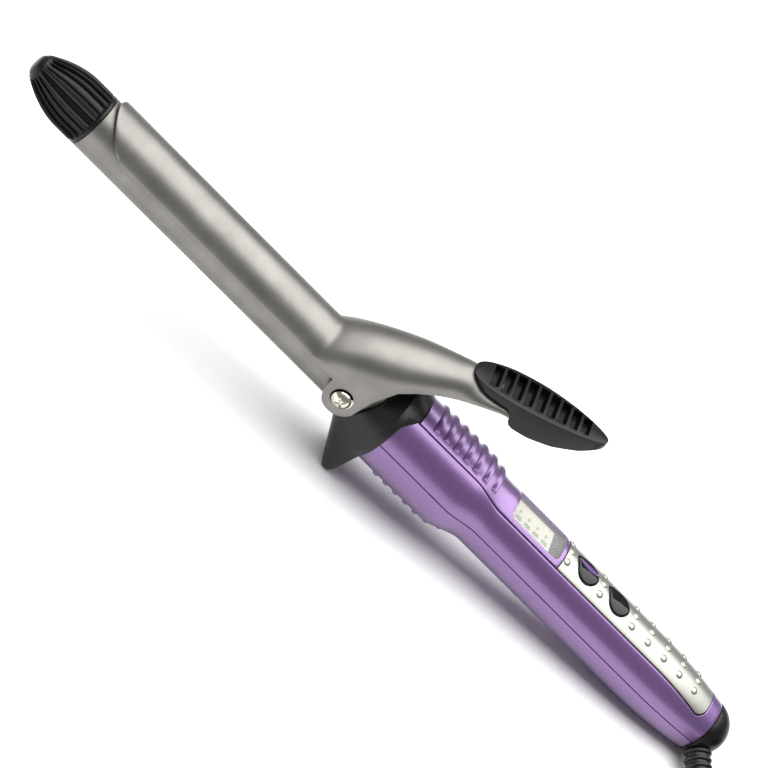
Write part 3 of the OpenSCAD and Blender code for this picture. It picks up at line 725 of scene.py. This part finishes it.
def clip_row(x):
    """The clip's outer surface at a station, from one lower edge over the crown to the other."""
    half, top = arm_half(x), crown(x)
    arch = CLIP_OUT - ARCH_NARROW * narrow(x) - ARCH_END * ease((x - PIVOT_X - 22) / 14) - sunk(x)
    wrap = math.radians(CLIP_ANGLE + (90 - CLIP_ANGLE) * ease((x - KINK_X) / 6))
    low = min(edge(x), top - arch * (1 - math.cos(wrap)) - 0.3)
    side = [(x, half * math.sin(b), top - arch * (1 - math.cos(b))) for b in steps(0, wrap, ARCH_STEPS)]
    knee = side[-1][2]
    wall = half * math.sin(wrap)
    side += [(x, wall, knee + (low - knee) * k / WALL_STEPS) for k in range(1, WALL_STEPS + 1)]
    row = [(px, -py, pz) for px, py, pz in reversed(side[1:])] + side
    return [(px + recess(px, py, pz), py, pz) for px, py, pz in row]


def recess(x, y, z):
    """How far the front edge is set back towards the sides of the spoon."""
    a = min(1, abs(math.degrees(math.atan2(y, z))) / CLIP_ANGLE)
    back = 0.45 * a**1.4 + 0.55 * (1 - math.sqrt(1 - a * a))
    return TONGUE * back * (1 - ease((x - TIP_LEN - 1) / (2 * TONGUE)))


def clip_sheet():
    """Spoon, ears and arm as one pressed sheet, with its wall inwards."""
    xs = steps(TIP_LEN + 1, TIP_LEN + 1 + 2 * TONGUE, 16) + steps(56, KINK_X - 6, 14)
    xs += steps(KINK_X - 4, PIVOT_X - EAR_R - 0.1, 14)
    turns = [(math.cos(math.radians(a)), a) for a in range(0, 181, 7)]
    xs += [PIVOT_X - EAR_R * c * (0.999 if a < 90 else 0.94) for c, a in turns]
    xs += [PIVOT_X + d for d in ARM_PLACES]
    rows = [clip_row(x) for x in xs]
    faces = grid_faces(len(rows), len(rows[0]), False)
    sheet = raw("clip", [p for row in rows for p in row], faces, COATING)
    outwards(sheet.data)
    shell(sheet, CLIP_T, 0.16)
    settle("clip_sheet", [sheet], ["clip"], "clip", degrees=45)


# ---- Thumb grip, drawn along its own slope ----
PAD_TOP = [(-1, 0.4), (12, 1.1), (23, 1.3), (34, 1.1), (47.5, 0.4)]
PAD_UNDER = [(0, -2.3), (12, -2.5), (15.4, -3.0), (16, -4.2), (16.4, -6), (17.2, -7.2), (18.6, -7.8),
             (24, -8.2), (32, -7.4), (40, -5.2), (45.5, -2.6), (47.5, -1.2)]
PAD_RIM = [(0, -1.1), (4, -1.3), (6, -1.9), (14.6, -1.95), (15.4, -2.8), (15.7, -4)]
LEAF_SHIFT = 0.73
LEAF_POWER = 0.5
SLOT_COUNT = 9
SLOT_FIRST = 7.2
SLOT_PITCH = 3.9
SLOT_SHIFT = 0.5
SLOT_SHARE = 0.76


def leaf(u):
    """Half width of the leaf-shaped plan at a place along it."""
    return PAD_W / 2 * max(0, math.sin(math.pi * (u / PAD_LEN) ** LEAF_SHIFT)) ** LEAF_POWER


PAD_PLACE = Matrix.Translation((PAD_X, 0, PAD_H)) @ Matrix.Rotation(-math.radians(PAD_SLOPE), 4, "Y")


def pad_ring(u):
    """Cross-section of the grip: a crowned top, a side edge and the keel below."""
    w, top, under = max(0.05, leaf(u)), lookup(u, PAD_TOP), lookup(u, PAD_UNDER)
    crest = [(u, w * k / 6, top + 0.35 * (1 - (k / 6) ** 2) * min(1, w / 4)) for k in range(-6, 7)]
    inner = max(0.04, w - 0.25)
    rim = max(under, lookup(u, PAD_RIM)) if u < PAD_RIM[-1][0] else under
    keel = [(u, inner * k / 6, rim if abs(k) > 4 else under) for k in range(6, -7, -1)]
    return crest + [(u, w, (top + rim) / 2 + 0.3)] + keel + [(u, -w, (top + rim) / 2 + 0.3)]


def slot_tree(material):
    """Cross slots down the pad, each as wide as the leaf-shaped plan allows at its place."""
    tree, given = node_tree("slots_down_leaf", Count=SLOT_COUNT, First=SLOT_FIRST, Pitch=SLOT_PITCH,
                            Length=PAD_LEN, Half_Width=5, Shift=LEAF_SHIFT, Power=LEAF_POWER)
    u = in_step(tree, given, index_of(tree))
    share = calc(tree, "POWER", calc(tree, "DIVIDE", u, given["Length"]), given["Shift"])
    wave = calc(tree, "POWER", calc(tree, "SINE", calc(tree, "MULTIPLY", share, math.pi)), given["Power"])
    size = vector(tree, X=1.0, Y=calc(tree, "MULTIPLY", wave, given["Half Width"]), Z=1.0)
    points = points_at(tree, given["Count"], vector(tree, X=u))
    output(tree, copies(tree, given, points, Scale=size), material)
    return tree


def slot_unit():
    """A slot one millimetre to each side, which the tree widens, with a steep front and a sloped back."""
    outline = [(-1.5, 3), (-1.45, 0.2), (-1.2, -1.35), (0.9, -1.35), (1.4, 0.3), (1.75, 3)]
    rings = [[(x, y, z) for x, z in outline] for y in (-1, -0.97, 0.97, 1)]
    return skin("slot", rings, GRIP_NYLON)


def thumb_grip():
    """The grip with its cross slots cut and every edge eased."""
    us = [PAD_LEN * (1 - math.cos(math.pi * k / 56)) / 2 for k in range(1, 56)]
    step_at = [15.4, 15.7, 16, 16.2, 16.4, 16.8, 17.2, 17.9, 18.6]
    us = sorted(set([round(u, 3) for u in us] + step_at + [0.03, PAD_LEN - 0.03]))
    pad = skin("pad", [pad_ring(u) for u in us], GRIP_NYLON)
    bevelled(pad, 0.45, 3, 55)
    plain(pad)
    cutter = plain(repeat(slot_unit(), slot_tree(GRIP_NYLON), Half_Width=SLOT_SHARE * PAD_W / 2))
    outwards(cutter.data)
    cutter.data.transform(Matrix.Translation((0, SLOT_SHIFT, 0)))
    modify(pad, "BOOLEAN", operation="DIFFERENCE", object=cutter, solver="EXACT")
    plain(pad)
    bpy.data.objects.remove(cutter)
    bevelled(pad, 0.14, 2, 40)
    plain(pad)
    pad.data.transform(PAD_PLACE)
    settle("thumb_grip_pad", [pad], ["thumb_grip"], "clip", degrees=42)


def clip_spring():
    """Leaf spring under the arm, from under the clip's arm down to its lower end on the barrel."""
    def place(u):
        return PIVOT_X + 7 - 9 * u, BARREL_R + 0.1 + 8.6 * u**1.6

    rings = []
    for u in steps(0, 1, 20):
        x, z = place(u)
        rings.append([(x, -3, z), (x, 3, z), (x + 0.1, 3, z + 0.5), (x + 0.1, -3, z + 0.5)])
    strip = bevelled(skin("spring", rings, SPRING_STEEL), 0.1)
    piece = settle("leaf_spring", [strip], ["clip_spring"])
    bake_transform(piece)


# ---- Heat shield and stand foot ----
TAB_R = 15.2
TAB_SPREAD = 0.42
TAB_STEPS = 40
SHIELD_SIDES = 128


def sole_at(x):
    """Height of the table under a place on the tilted iron."""
    return -(AXIS_DROP - x * math.sin(TILT)) / math.cos(TILT)


def rim_point(a, e):
    """A point of the flare: e runs from the collar to the rim, and its lower part draws down to the foot."""
    y, z = math.sin(a), math.cos(a)
    r = COLLAR_R + (SHIELD_R - COLLAR_R) * e
    foot = ease((-z - 0.55) / 0.4)
    low = sole_at(PLATE_X) - 1
    return (y * r * (1 - foot * e) + foot * e * (y / 0.6) * (FOOT_HALF + 1),
            z * r * (1 - foot * e) + foot * e * low - BULGE_DROP * e * (1 - foot))


def shield_ring(s):
    """The flare's outline at a share of the way from the collar to the plate."""
    ring = []
    for a in around(SHIELD_SIDES):
        y, z = rim_point(a, s**1.25)
        x0 = COLLAR_X + COLLAR_LEAN * COLLAR_R * math.cos(a)
        ring.append((x0 + (PLATE_X - x0) * s, y, z))
    return ring


def bore_ring(x, r, lean):
    """A round ring about the barrel, leaning with the collar."""
    turns = [(math.sin(a), math.cos(a)) for a in around(SHIELD_SIDES)]
    return [(x + lean * COLLAR_R * c, r * s, r * c) for s, c in turns]


def shield_body():
    """Collar, flare, rim plate and bore as one closed skin, cut level where it stands on the table."""
    lip = ((1.5, BARREL_R + 0.08), (0.15, BARREL_R + 0.15), (-0.15, BARREL_R + 0.5), (-0.18, COLLAR_R - 0.4))
    rings = [bore_ring(COLLAR_X + dx, r, COLLAR_LEAN) for dx, r in lip]
    rings += [shield_ring(s) for s in steps(0, 1, 22)]
    back = HANDLE_X - 0.05
    rim = [(back, *rim_point(a, 1)) for a in around(SHIELD_SIDES)]
    middle = [((PLATE_X + HANDLE_X) / 2, y, z) for _, y, z in rim]
    rings += [middle, rim, bore_ring(back, BARREL_R + 0.08, 0), rings[0]]
    rings = [[(x, y, max(z, sole_at(x))) for x, y, z in ring] for ring in rings]
    return bevelled(skin("shield", rings, BLACK_NYLON, caps=False), 0.4, 3, 48)


def shield_tab():
    """The tongue that reaches back over the handle's end as far as the inlay, with rounded corners."""
    lean = math.asin(INLAY_HALF / BULGE_R)
    rows = []
    curve = ((0, SHIELD_R), (0.25, SHIELD_R - 0.05), (0.45, 15.85), (0.65, 15.6), (0.85, 15.35), (1, TAB_R))
    for share, r in curve:
        row = []
        for a in steps(-lean - TAB_SPREAD, lean + TAB_SPREAD, TAB_STEPS):
            reach = 1 - ease((abs(a) - lean + 0.1) / (TAB_SPREAD + 0.1))
            x = HANDLE_X - 1.6 + share * (1.9 + (INLAY_START - HANDLE_X - 0.4) * reach)
            row.append((x, r * math.sin(a), r * math.cos(a) - BULGE_DROP))
        rows.append(row)
    return shell(sheet("tab", rows, BLACK_NYLON), 1.4, 0.25)


def heat_shield():
    """The shield with its stand foot and its tab over the handle."""
    parts = [shield_body(), shield_tab()]
    settle("heat_shield_and_foot", parts, ["heat_shield"], "handle", degrees=40)


# ---- Handle shells ----
def slim_at(x):
    """Radius of the slim handle, which tapers towards the tail."""
    return SLIM_R - TAIL_DROP * max(0, (x - TAPER_X) / (TAIL_X - TAPER_X)) ** 2


def neck_share(x):
    """Share of the way down the neck, from the grip to the slim handle."""
    return ease((x - NECK[0]) / (NECK[1] - NECK[0]))


def handle_r(x):
    """Radius of the handle."""
    return BULGE_R + (slim_at(x) - BULGE_R) * neck_share(x)


def handle_drop(x):
    """How far the middle of the handle lies under the axis."""
    return BULGE_DROP * (1 - neck_share(x))


def on_handle(x, a, raise_mm=0.0):
    """A point of the handle's surface at an angle from the top, raised above it."""
    r = handle_r(x) + raise_mm
    return (x, r * math.sin(a), r * math.cos(a) - handle_drop(x))


def angle_of(x, half):
    """The angle at which the surface is a given distance from the middle plane."""
    return math.asin(min(1, half / handle_r(x)))


def parting(x):
    """The angle from the top at which the upper and lower shells meet."""
    return math.acos(handle_drop(x) / handle_r(x))


def rounded_half(x, half, ends, corner):
    """Half width of a rounded plan opening at a place along the handle."""
    near = min(abs(x - ends[0]), abs(ends[1] - x))
    return half if near >= corner else half - corner + math.sqrt(max(0, corner**2 - (corner - near) ** 2))


def strip(name, xs, columns, material, thickness, skip=None, edge_mm=0.16):
    """A piece of the handle's skin: columns(x) gives the angles at a station, and skip leaves faces out."""
    rows = [[on_handle(x, a) for a in columns(x)] for x in xs]
    return shell(sheet(name, rows, material, skip), thickness, edge_mm)


def handle_stations(start, end, extra=()):
    """Stations every 2 mm, closer down the neck, with both ends and any others asked for."""
    even = steps(152, 300, 74) + steps(NECK[0] - 1, NECK[1] + 1, 32)
    return sorted({start, end, *extra, *(x for x in even if start + 0.5 < x < end - 0.5)})


def corner_stations(x, side, corner):
    """Stations that round a corner, on the given side of its end."""
    return [x - side * corner * (1 - math.cos(math.pi / 2 * k / 8)) for k in range(9)]


def upper_housing():
    """The upper shell, open where the inlay and the panel lie."""
    sides, middle = 14, 12
    edge_x = PANEL_END + SEAM
    gap_half = INLAY_HALF + SEAM

    def columns(x):
        inside = x <= edge_x
        half = rounded_half(x, gap_half, (0, edge_x), PANEL_CORNER) if inside else gap_half - PANEL_CORNER
        low, high = parting(x) - SEAM / handle_r(x), angle_of(x, half)
        over = steps(high, -high, middle)
        return steps(low, high, sides) + over[1:-1] + steps(-high, -low, sides)

    extra = corner_stations(edge_x, 1, PANEL_CORNER) + [edge_x + 0.4, edge_x + 1]
    xs = handle_stations(HANDLE_X, TAIL_X, extra)
    opening = range(sides, sides + middle)
    piece = strip("upper", xs, columns, PURPLE, WALL, lambda i, j: j in opening and xs[i] < edge_x - 1e-6)
    settle("upper_shell", [piece], ["upper_housing"], "handle", degrees=45)


def rib_unit(name, half_angle, start_angle, material):
    """One grip rib: steep towards the tail, eased towards the tip, its ends rounded down into the shell."""
    section = [(-1.7, -RIB_ROOT), (-1.55, -0.05), (-1.2, 0.35), (-0.6, 0.78), (0.1, RIB_H), (0.65, 0.82),
               (1.0, 0.3), (1.15, -RIB_ROOT)]
    rings = []
    for k in range(RIB_STEPS + 1):
        a = start_angle + half_angle * (2 * k / RIB_STEPS - 1)
        high = min(1, math.sqrt(min(1, min(k, RIB_STEPS - k) / 2 + 0.02)))
        radii = [(x, BULGE_R - RIB_ROOT + (h + RIB_ROOT) * high) for x, h in section]
        rings.append([(x, r * math.sin(a), r * math.cos(a)) for x, r in radii])
    return skin(name, rings, material)


def ribs(name, half_angle, start_angle):
    """The row of grip ribs, above or below."""
    unit = rib_unit(name, half_angle, start_angle, PURPLE)
    return repeat(unit, neck_tree(PURPLE), First=RIB_FIRST + RIB_BACK)


def lower_housing():
    """The lower shell with the ribs under the grip."""
    def columns(x):
        low = parting(x) + SEAM / handle_r(x)
        return steps(low, 2 * math.pi - low, 56)

    piece = strip("lower", handle_stations(HANDLE_X, TAIL_X), columns, PURPLE, WALL)
    under = ribs("lower_ribs", math.radians(28), math.pi)
    settle("lower_shell", [piece, under], ["lower_housing"], "handle", degrees=45)


def top_inlay():
    """The inlay in the upper shell, with its ribs and the window's opening."""
    sides, middle = 6, 10
    start, end = INLAY_START + SEAM, INLAY_END - SEAM

    def columns(x):
        outer = angle_of(x, INLAY_HALF - SEAM)
        inside = WINDOW_X[0] <= x <= WINDOW_X[1]
        half = WINDOW_HALF - WINDOW_CORNER
        if inside:
            half = rounded_half(x, WINDOW_HALF, WINDOW_X, WINDOW_CORNER)
        inner = angle_of(x, half)
        over = steps(inner, -inner, middle)
        return steps(outer, inner, sides) + over[1:-1] + steps(-inner, -outer, sides)

    extra = corner_stations(WINDOW_X[0], -1, WINDOW_CORNER) + corner_stations(WINDOW_X[1], 1, WINDOW_CORNER)
    xs = handle_stations(start, end, extra)
    opening = range(sides, sides + middle)

    def skipped(i, j):
        return j in opening and WINDOW_X[0] - 1e-6 <= xs[i] and xs[i + 1] <= WINDOW_X[1] + 1e-6

    piece = strip("inlay", xs, columns, PURPLE, PANEL_T, skipped)
    over = ribs("top_ribs", angle_of(170, INLAY_HALF - 0.9), 0)
    settle("ribbed_top_inlay", [piece, over], ["top_inlay"], "handle", degrees=45)


# ---- Control panel and buttons ----
DROP_ROUND = (0.8, -1.4, 4.3)
DROP_POINT = (-3.2, 0.6, 1.5)
STRIPE_LEN = 8.6
STRIPE_HALF = 1.15
STRIPE_STEPS = 44


def drop_outline(grow, n=24):
    """Teardrop plan: an arc at each end joined by straight tangents, its point at the tip end."""
    (x0, y0, r0), (x1, y1, r1) = DROP_ROUND, DROP_POINT
    aim = math.atan2(y1 - y0, x1 - x0)
    lean = math.acos((r0 - r1) / math.hypot(x1 - x0, y1 - y0))

    def arc(x, y, r, start, end, count):
        r += grow
        return [(x + r * math.cos(a), y + r * math.sin(a)) for a in steps(start, end, count)]

    big = arc(x0, y0, r0, aim + lean, aim + 2 * math.pi - lean, n)
    small = arc(x1, y1, r1, aim - lean, aim + lean, 8)
    flat = []
    for (xa, ya), (xb, yb) in ((big[-1], small[0]), (small[-1], big[0])):
        flat.append([(xa + (xb - xa) * k / 6, ya + (yb - ya) * k / 6) for k in range(1, 6)])
    return big + flat[0] + small + flat[1]


def dot_tree(material):
    """Raised dots: rows across the panel in even columns, but none where the buttons are."""
    tree, given = node_tree("panel_dots", First=DOT_FIRST, Pitch=DOT_PITCH, Angle=DOT_ANGLE, Radius=SLIM_R,
                            Taper_Start=TAPER_X, Taper_Length=TAIL_X - TAPER_X, Taper_Drop=TAIL_DROP)
    index = index_of(tree)
    column = calc(tree, "FLOOR", calc(tree, "DIVIDE", index, float(DOT_ROWS)))
    row = calc(tree, "SUBTRACT", calc(tree, "MODULO", index, float(DOT_ROWS)), (DOT_ROWS - 1) / 2)
    x = in_step(tree, given, column)
    angle = calc(tree, "MULTIPLY", row, calc(tree, "RADIANS", given["Angle"]))
    past = calc(tree, "DIVIDE", calc(tree, "SUBTRACT", x, given["Taper Start"]), given["Taper Length"])
    down = calc(tree, "MAXIMUM", past, 0.0)
    sunk_mm = calc(tree, "MULTIPLY", calc(tree, "MULTIPLY", down, down), given["Taper Drop"])
    radius = calc(tree, "SUBTRACT", given["Radius"], sunk_mm)
    across = calc(tree, "MULTIPLY", calc(tree, "SINE", angle), radius)
    height = calc(tree, "MULTIPLY", calc(tree, "COSINE", angle), radius)
    points = points_at(tree, DOT_ROWS * DOT_COLUMNS, vector(tree, X=x, Y=across, Z=height))
    odd = [("A", calc(tree, "MODULO", column, 2.0)), ("B", 0.5)]
    early = [("A", column), ("B", DOTS_BY_BUTTONS - 0.5)]
    is_odd = add(tree, "FunctionNodeCompare", odd, operation="GREATER_THAN").outputs[0]
    is_early = add(tree, "FunctionNodeCompare", early, operation="LESS_THAN").outputs[0]
    missing = add(tree, "FunctionNodeBooleanMath", [(0, is_odd), (1, is_early)], operation="AND").outputs[0]
    kept = add(tree, "GeometryNodeDeleteGeometry", [("Geometry", points), ("Selection", missing)]).outputs[0]
    turn = vector(tree, X=calc(tree, "MULTIPLY", angle, -1.0))
    output(tree, copies(tree, given, kept, Rotation=turn), material)
    return tree


def dot_unit():
    """One flat-topped dome of the panel, as radius and height."""
    dome = ((1.2, -0.6), (1.32, -0.02), (1.2, 0.1), (1.0, 0.25), (0.7, 0.38), (0.35, 0.45), (0.02, 0.47))
    rings = [[(r * math.sin(b), r * math.cos(b), z) for b in around(24)] for r, z in dome]
    return skin("dot", rings, SILVER)


def control_panel():
    """The silver panel with its two drop-shaped holes and its dots."""
    start, end = INLAY_END + SEAM, PANEL_END - SEAM

    def columns(x):
        high = angle_of(x, rounded_half(x, INLAY_HALF - SEAM, (0, end), PANEL_CORNER))
        return steps(high, -high, 30)

    xs = handle_stations(start, end, corner_stations(end, 1, PANEL_CORNER))
    piece = strip("panel", xs, columns, SILVER, PANEL_T)
    piece.modifiers.remove(piece.modifiers["bevel"])
    plain(piece)
    for x in BUTTON_X:
        hole = [[(x + px, py, z) for px, py in drop_outline(BUTTON_GAP)] for z in (6, 20)]
        cutter = skin("cutter", hole, SILVER)
        modify(piece, "BOOLEAN", operation="DIFFERENCE", object=cutter, solver="EXACT")
        plain(piece)
        bpy.data.objects.remove(cutter)
    bevelled(piece, 0.22, 3, 50)
    dots = repeat(dot_unit(), dot_tree(SILVER), Radius=SLIM_R - 0.02)
    settle("dotted_control_panel", [piece, dots], ["control_panel"], "handle", degrees=40)


def button_cap(name, x):
    """A drop-shaped cap whose rim stands over a slightly dished middle, following the handle's round top."""
    rings = [[(x + px, py, SWITCH_TOP + 0.2) for px, py in drop_outline(0, 40)]]
    dish = ((1, 0.1), (0.965, 0.32), (0.9, 0.42), (0.75, 0.36), (0.55, 0.28), (0.3, 0.24), (0.02, 0.23))
    for share, proud in dish:
        plan = [(x + px * share, py * share) for px, py in drop_outline(0, 40)]
        rings.append([(px, py, math.sqrt((SLIM_R + proud) ** 2 - py * py)) for px, py in plan])
    return skin(name, rings, GLOSS_BLACK)


def button_stripe(x):
    """The raised lens-shaped stripe across the power button."""
    section = ((-1, -0.3), (-0.7, 0.32), (0, 0.44), (0.7, 0.32), (1, -0.3))
    ridge = []
    for u in steps(0, 1, STRIPE_STEPS):
        w = STRIPE_HALF * max(0.02, math.sin(math.pi * u)) ** 0.5
        px = x - 4.1 + STRIPE_LEN * u
        row = [(w * y, lift) for y, lift in section]
        ridge.append([(px, y, math.sqrt((SLIM_R + 0.2) ** 2 - y * y) + lift) for y, lift in row])
    return skin("stripe", ridge, PURPLE_GLOSS)


def button(name, x, striped=False):
    """One button, which slides on its own."""
    parts = [button_cap(name, x)] + ([button_stripe(x)] if striped else [])
    settle(name + "_cap", parts, [name], name, degrees=45)


# ---- Display figures: plain seven-bar numbers, four columns ----
FIGURE_PLACE = (-2.9, 8.34)


def figure_unit():
    """Three seven-bar figures side by side, with a small unit bar above, as thin printed strips."""
    points, faces = [], []

    def bar(x, y, w, h):
        base = len(points)
        points.extend([(x, y, 0), (x + w, y, 0), (x + w, y + h, 0), (x, y + h, 0)])
        faces.append((base, base + 1, base + 2, base + 3))

    for k, shown in enumerate((0b0111101, 0b1110111, 0b1110111)):
        left = k * 0.85
        places = ((0.1, 1.6, 0.4, 0.2), (0, 0.9, 0.17, 0.8), (0.45, 0.9, 0.17, 0.8), (0.1, 0.8, 0.4, 0.2),
                  (0, 0.1, 0.17, 0.8), (0.45, 0.1, 0.17, 0.8), (0.1, 0, 0.4, 0.2))
        for bit, (bx, by, bw, bh) in enumerate(places):
            if shown >> bit & 1:
                bar(left + bx, by, bw, bh)
    for bx, by, bw, bh in ((0.9, 3.1, 0.2, 1.6), (1.1, 4.5, 0.7, 0.2), (1.1, 3.85, 0.5, 0.2)):
        bar(bx, by, bw, bh)
    unit = raw("figures", points, faces, LCD_INK)
    modify(unit, "SOLIDIFY", thickness=0.04, offset=0)
    return unit


def display():
    """Four groups of figures lying on the display under the window."""
    unit = plain(figure_unit())
    unit.data.transform(Matrix.Translation((0, *FIGURE_PLACE)))
    line = repeat(unit, line_tree(LCD_INK), Count=4, First=WINDOW_X[0] + 2.7, Pitch=3.9)
    settle("display_figures", [line], [], "handle")


# ---- Swivel, boot, cord and plug ----
AIR = 0.3
BALL = (TAIL_X + AIR, 0, 0)
BALL_ROW = lay(*BALL) / MM
BOOT_TURN = math.radians(63)
BOOT_FALL = math.radians(19)
BOOT_FROM = DOME_R - 1.4
BOOT_LEN = 24
BOOT_BEND = 9.5
STEM_LEN = 18
STEM_R = 4


def boot_at(s):
    """The strain relief's centreline: it leaves the ball falling, then bends level with the table."""
    f = BOOT_FALL
    level = min(1, max(0, (s - BOOT_FROM) / BOOT_BEND))
    if s <= BOOT_FROM:
        down, out = s * math.sin(f), s * math.cos(f)
    else:
        down = BOOT_FROM * math.sin(f) + BOOT_BEND / f * (math.cos(f * (1 - level)) - math.cos(f))
        out = BOOT_FROM * math.cos(f) + BOOT_BEND / f * (math.sin(f) - math.sin(f * (1 - level)))
        out += max(0, s - BOOT_FROM - BOOT_BEND)
    return BALL_ROW + Vector((out * math.cos(BOOT_TURN), -out * math.sin(BOOT_TURN), -down))


def swept(name, path, radii, material, n=24):
    """A tube of round sections along points, without twist, with rounded ends left to the caller."""
    rings = []
    side = None
    for k, point in enumerate(path):
        ahead = (path[min(k + 1, len(path) - 1)] - path[max(k - 1, 0)]).normalized()
        side = (side - ahead * side.dot(ahead)) if side else ahead.cross(Vector((0, 0, 1)))
        side.normalize()
        up = side.cross(ahead)
        rings.append([point + radii[k] * (side * math.cos(a) + up * math.sin(a)) for a in around(n)])
    return skin(name, rings, material)


def swivel():
    """The stem in the handle and the dome at its tail."""
    face = BALL[0]
    arc = [(face + DOME_R * math.sin(a), DOME_R * math.cos(a)) for a in steps(0, math.pi / 2, 28)]
    stem = [(TAIL_X - STEM_LEN, 1.5), (TAIL_X - STEM_LEN, STEM_R), (face + 0.2, STEM_R)]
    rim = [(face, DOME_R - 0.4), (face + 0.12, DOME_R - 0.08)]
    ball = turned("ball", stem + rim + [(x, max(0, r)) for x, r in arc[1:]], BLACK_PP)
    settle("swivel_dome", [ball], ["swivel_ball"], "swivel", degrees=50)


def boot():
    """The tapered strain relief and the rings along it."""
    places = steps(BOOT_FROM - 2, BOOT_FROM + BOOT_LEN, 30)
    path = [boot_at(s) for s in places]
    radii = [3.75 - 0.45 * k / 30 for k in range(31)]
    core = swept("boot_core", path, radii, VINYL, 32)
    line = bpy.data.meshes.new("boot_path")
    ring_places = [boot_at(s) for s in steps(BOOT_FROM + 1.6, BOOT_FROM + BOOT_LEN - 0.9, 30)]
    line.from_pydata([tuple(p) for p in ring_places], [(k, k + 1) for k in range(30)], [])
    rings = placed("boot_rings", line)
    repeat(rings, path_tree(VINYL), Count=9, Bead=0.75, First_Radius=3.85, Last_Radius=3.2)
    return settle("ribbed_strain_relief", [core, rings], ["strain_relief"], "swivel",
                  laid=False, degrees=60)


HANK_X, HANK_Y, HANK_RUN = 208, -14, 62
TIE_T = 0.8
LEAD_ROUTE = [(161.4, -33.9, 5.1), (163.8, -37.2, 4.3), (167.6, -40.2, 3.5), (173.5, -42.6, 3),
              (181, -43.8, 3), (190, -44, 3.2), (199, -44, 3.6), (208, -44, 3.8)]
END_ROUTE = [(208, -38, 15.8), (213, -38, 15.8), (219, -37.8, 16.2), (226, -37.3, 17.2), (233, -36.6, 18.4),
             (240, -36.1, 19.1), (246, -36, 19.3), (253, -36, 19.3)]
# Each turn's radius and the next one's, and its layer and the next one's
HANK_TURNS = [(30, 24, 0, 0), (24, 18, 0, 0), (18, 18, 0, 1), (18, 24, 1, 1), (24, 30, 1, 1), (30, 24, 1, 2)]


def smooth_route(points, per=6):
    """A Catmull-Rom curve through points."""
    pts = [Vector(p) for p in points]
    out = []
    for k in range(len(pts) - 1):
        p0, p1, p2 = pts[max(k - 1, 0)], pts[k], pts[k + 1]
        p3 = pts[min(k + 2, len(pts) - 1)]
        square, cube = 2 * p0 - 5 * p1 + 4 * p2 - p3, 3 * p1 - p0 - 3 * p2 + p3
        for t in [j / per for j in range(per)]:
            out.append(0.5 * (2 * p1 + (p2 - p0) * t + square * t * t + cube * t**3))
    return out + [pts[-1]]


def hank_route():
    """The wound turns: out along the near lane, back along the far one, and round into the next turn."""
    height = TIE_T + CORD_D / 2
    out = []
    for r, r_next, layer, next_layer in HANK_TURNS:
        z = height + CORD_D * layer
        rise = CORD_D * (next_layer - layer)
        out += [Vector((HANK_X + HANK_RUN * k / 8, HANK_Y - r, z)) for k in range(8)]
        far, turns = HANK_X + HANK_RUN, steps(0, math.pi, 18)[:-1]
        out += [Vector((far + r * math.sin(a), HANK_Y - r * math.cos(a), z)) for a in turns]
        out += [Vector((HANK_X + HANK_RUN * (1 - k / 8), HANK_Y + r, z)) for k in range(8)]
        for k in range(18):
            share, a = ease(k / 18), math.pi * k / 18
            rr = r + (r_next - r) * share
            out.append(Vector((HANK_X - rr * math.sin(a), HANK_Y + rr * math.cos(a), z + rise * share)))
    return out


def cord():
    """The whole cord on one route: out of the strain relief, wound in the hank and on to the plug."""
    tip = BOOT_FROM + BOOT_LEN
    lead = [tuple(boot_at(s)) for s in steps(BOOT_FROM + 1, tip + 2.5, 7)] + LEAD_ROUTE
    path = smooth_route(lead)[:-1] + hank_route() + smooth_route(END_ROUTE)
    tube = swept("tube", path, [CORD_D / 2] * len(path), VINYL, 20)
    stands_for = ["cord_lead", "cord_hank", "cord_end"]
    piece = settle("mains_cord", [tube], stands_for, laid=False, degrees=60)
    start = boot_at(tip) * MM
    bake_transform(piece)
    tuple(boot_at(BOOT_FROM + 1) * MM)


# ---- Studio ----
# Metres, unlike the pieces: the floor lies a hair under the iron, so that the two don't flicker
FLOOR_HALF = 6
FLOOR_DROP = 0.0003
ROOM_LIGHT = 0.28
SOFTBOX_AT = (0.0, 0.12, 0.9)
SOFTBOX_SIZE = (1.8, 1.3)
SOFTBOX_POWER = 26


def softbox():
    """One broad box overhead: it gives the upper band of light, and the floor it lights gives the lower."""
    light = bpy.data.lights.new("top_softbox", "AREA")
    light.shape = "RECTANGLE"
    light.size, light.size_y = SOFTBOX_SIZE
    light.energy = SOFTBOX_POWER
    lamp = placed("top_softbox", light)
    lamp.location = SOFTBOX_AT
    lamp.rotation_euler = (Vector((0, 0, 0.03)) - Vector(SOFTBOX_AT)).to_track_quat("-Z", "Y").to_euler()


def studio():
    """A plain pale sweep, a dim even room and the softbox."""
    h = FLOOR_HALF
    square = ((-h, -h), (h, -h), (h, h), (-h, h))
    floor = raw("floor", [(x, y, -FLOOR_DROP) for x, y in square], [(0, 1, 2, 3)])
    # Matt paper: plain and almost white, so only the soft shadow shows on it
    paper = new_material("matt_paper_sweep", "#F7F7F6", Roughness=0.9)[0]
    floor.data.materials.append(paper)
    world = bpy.data.worlds.new("soft_room")
    bpy.context.scene.world = world
    world.use_nodes = True
    background = world.node_tree.nodes["Background"]
    background.inputs[0].default_value = linear("#FFFFFF")
    background.inputs[1].default_value = ROOM_LIGHT
    softbox()
    bpy.context.scene.view_settings.view_transform = "Standard"


boot_piece = boot()
cord()
tip_cap()
barrel()
clip_sheet()
thumb_grip()
clip_spring()
heat_shield()
upper_housing()
lower_housing()
top_inlay()
control_panel()
button("power_button", BUTTON_X[0], striped=True)
button("heat_button", BUTTON_X[1])
display()
swivel()
dress_cad_nodes()
studio()
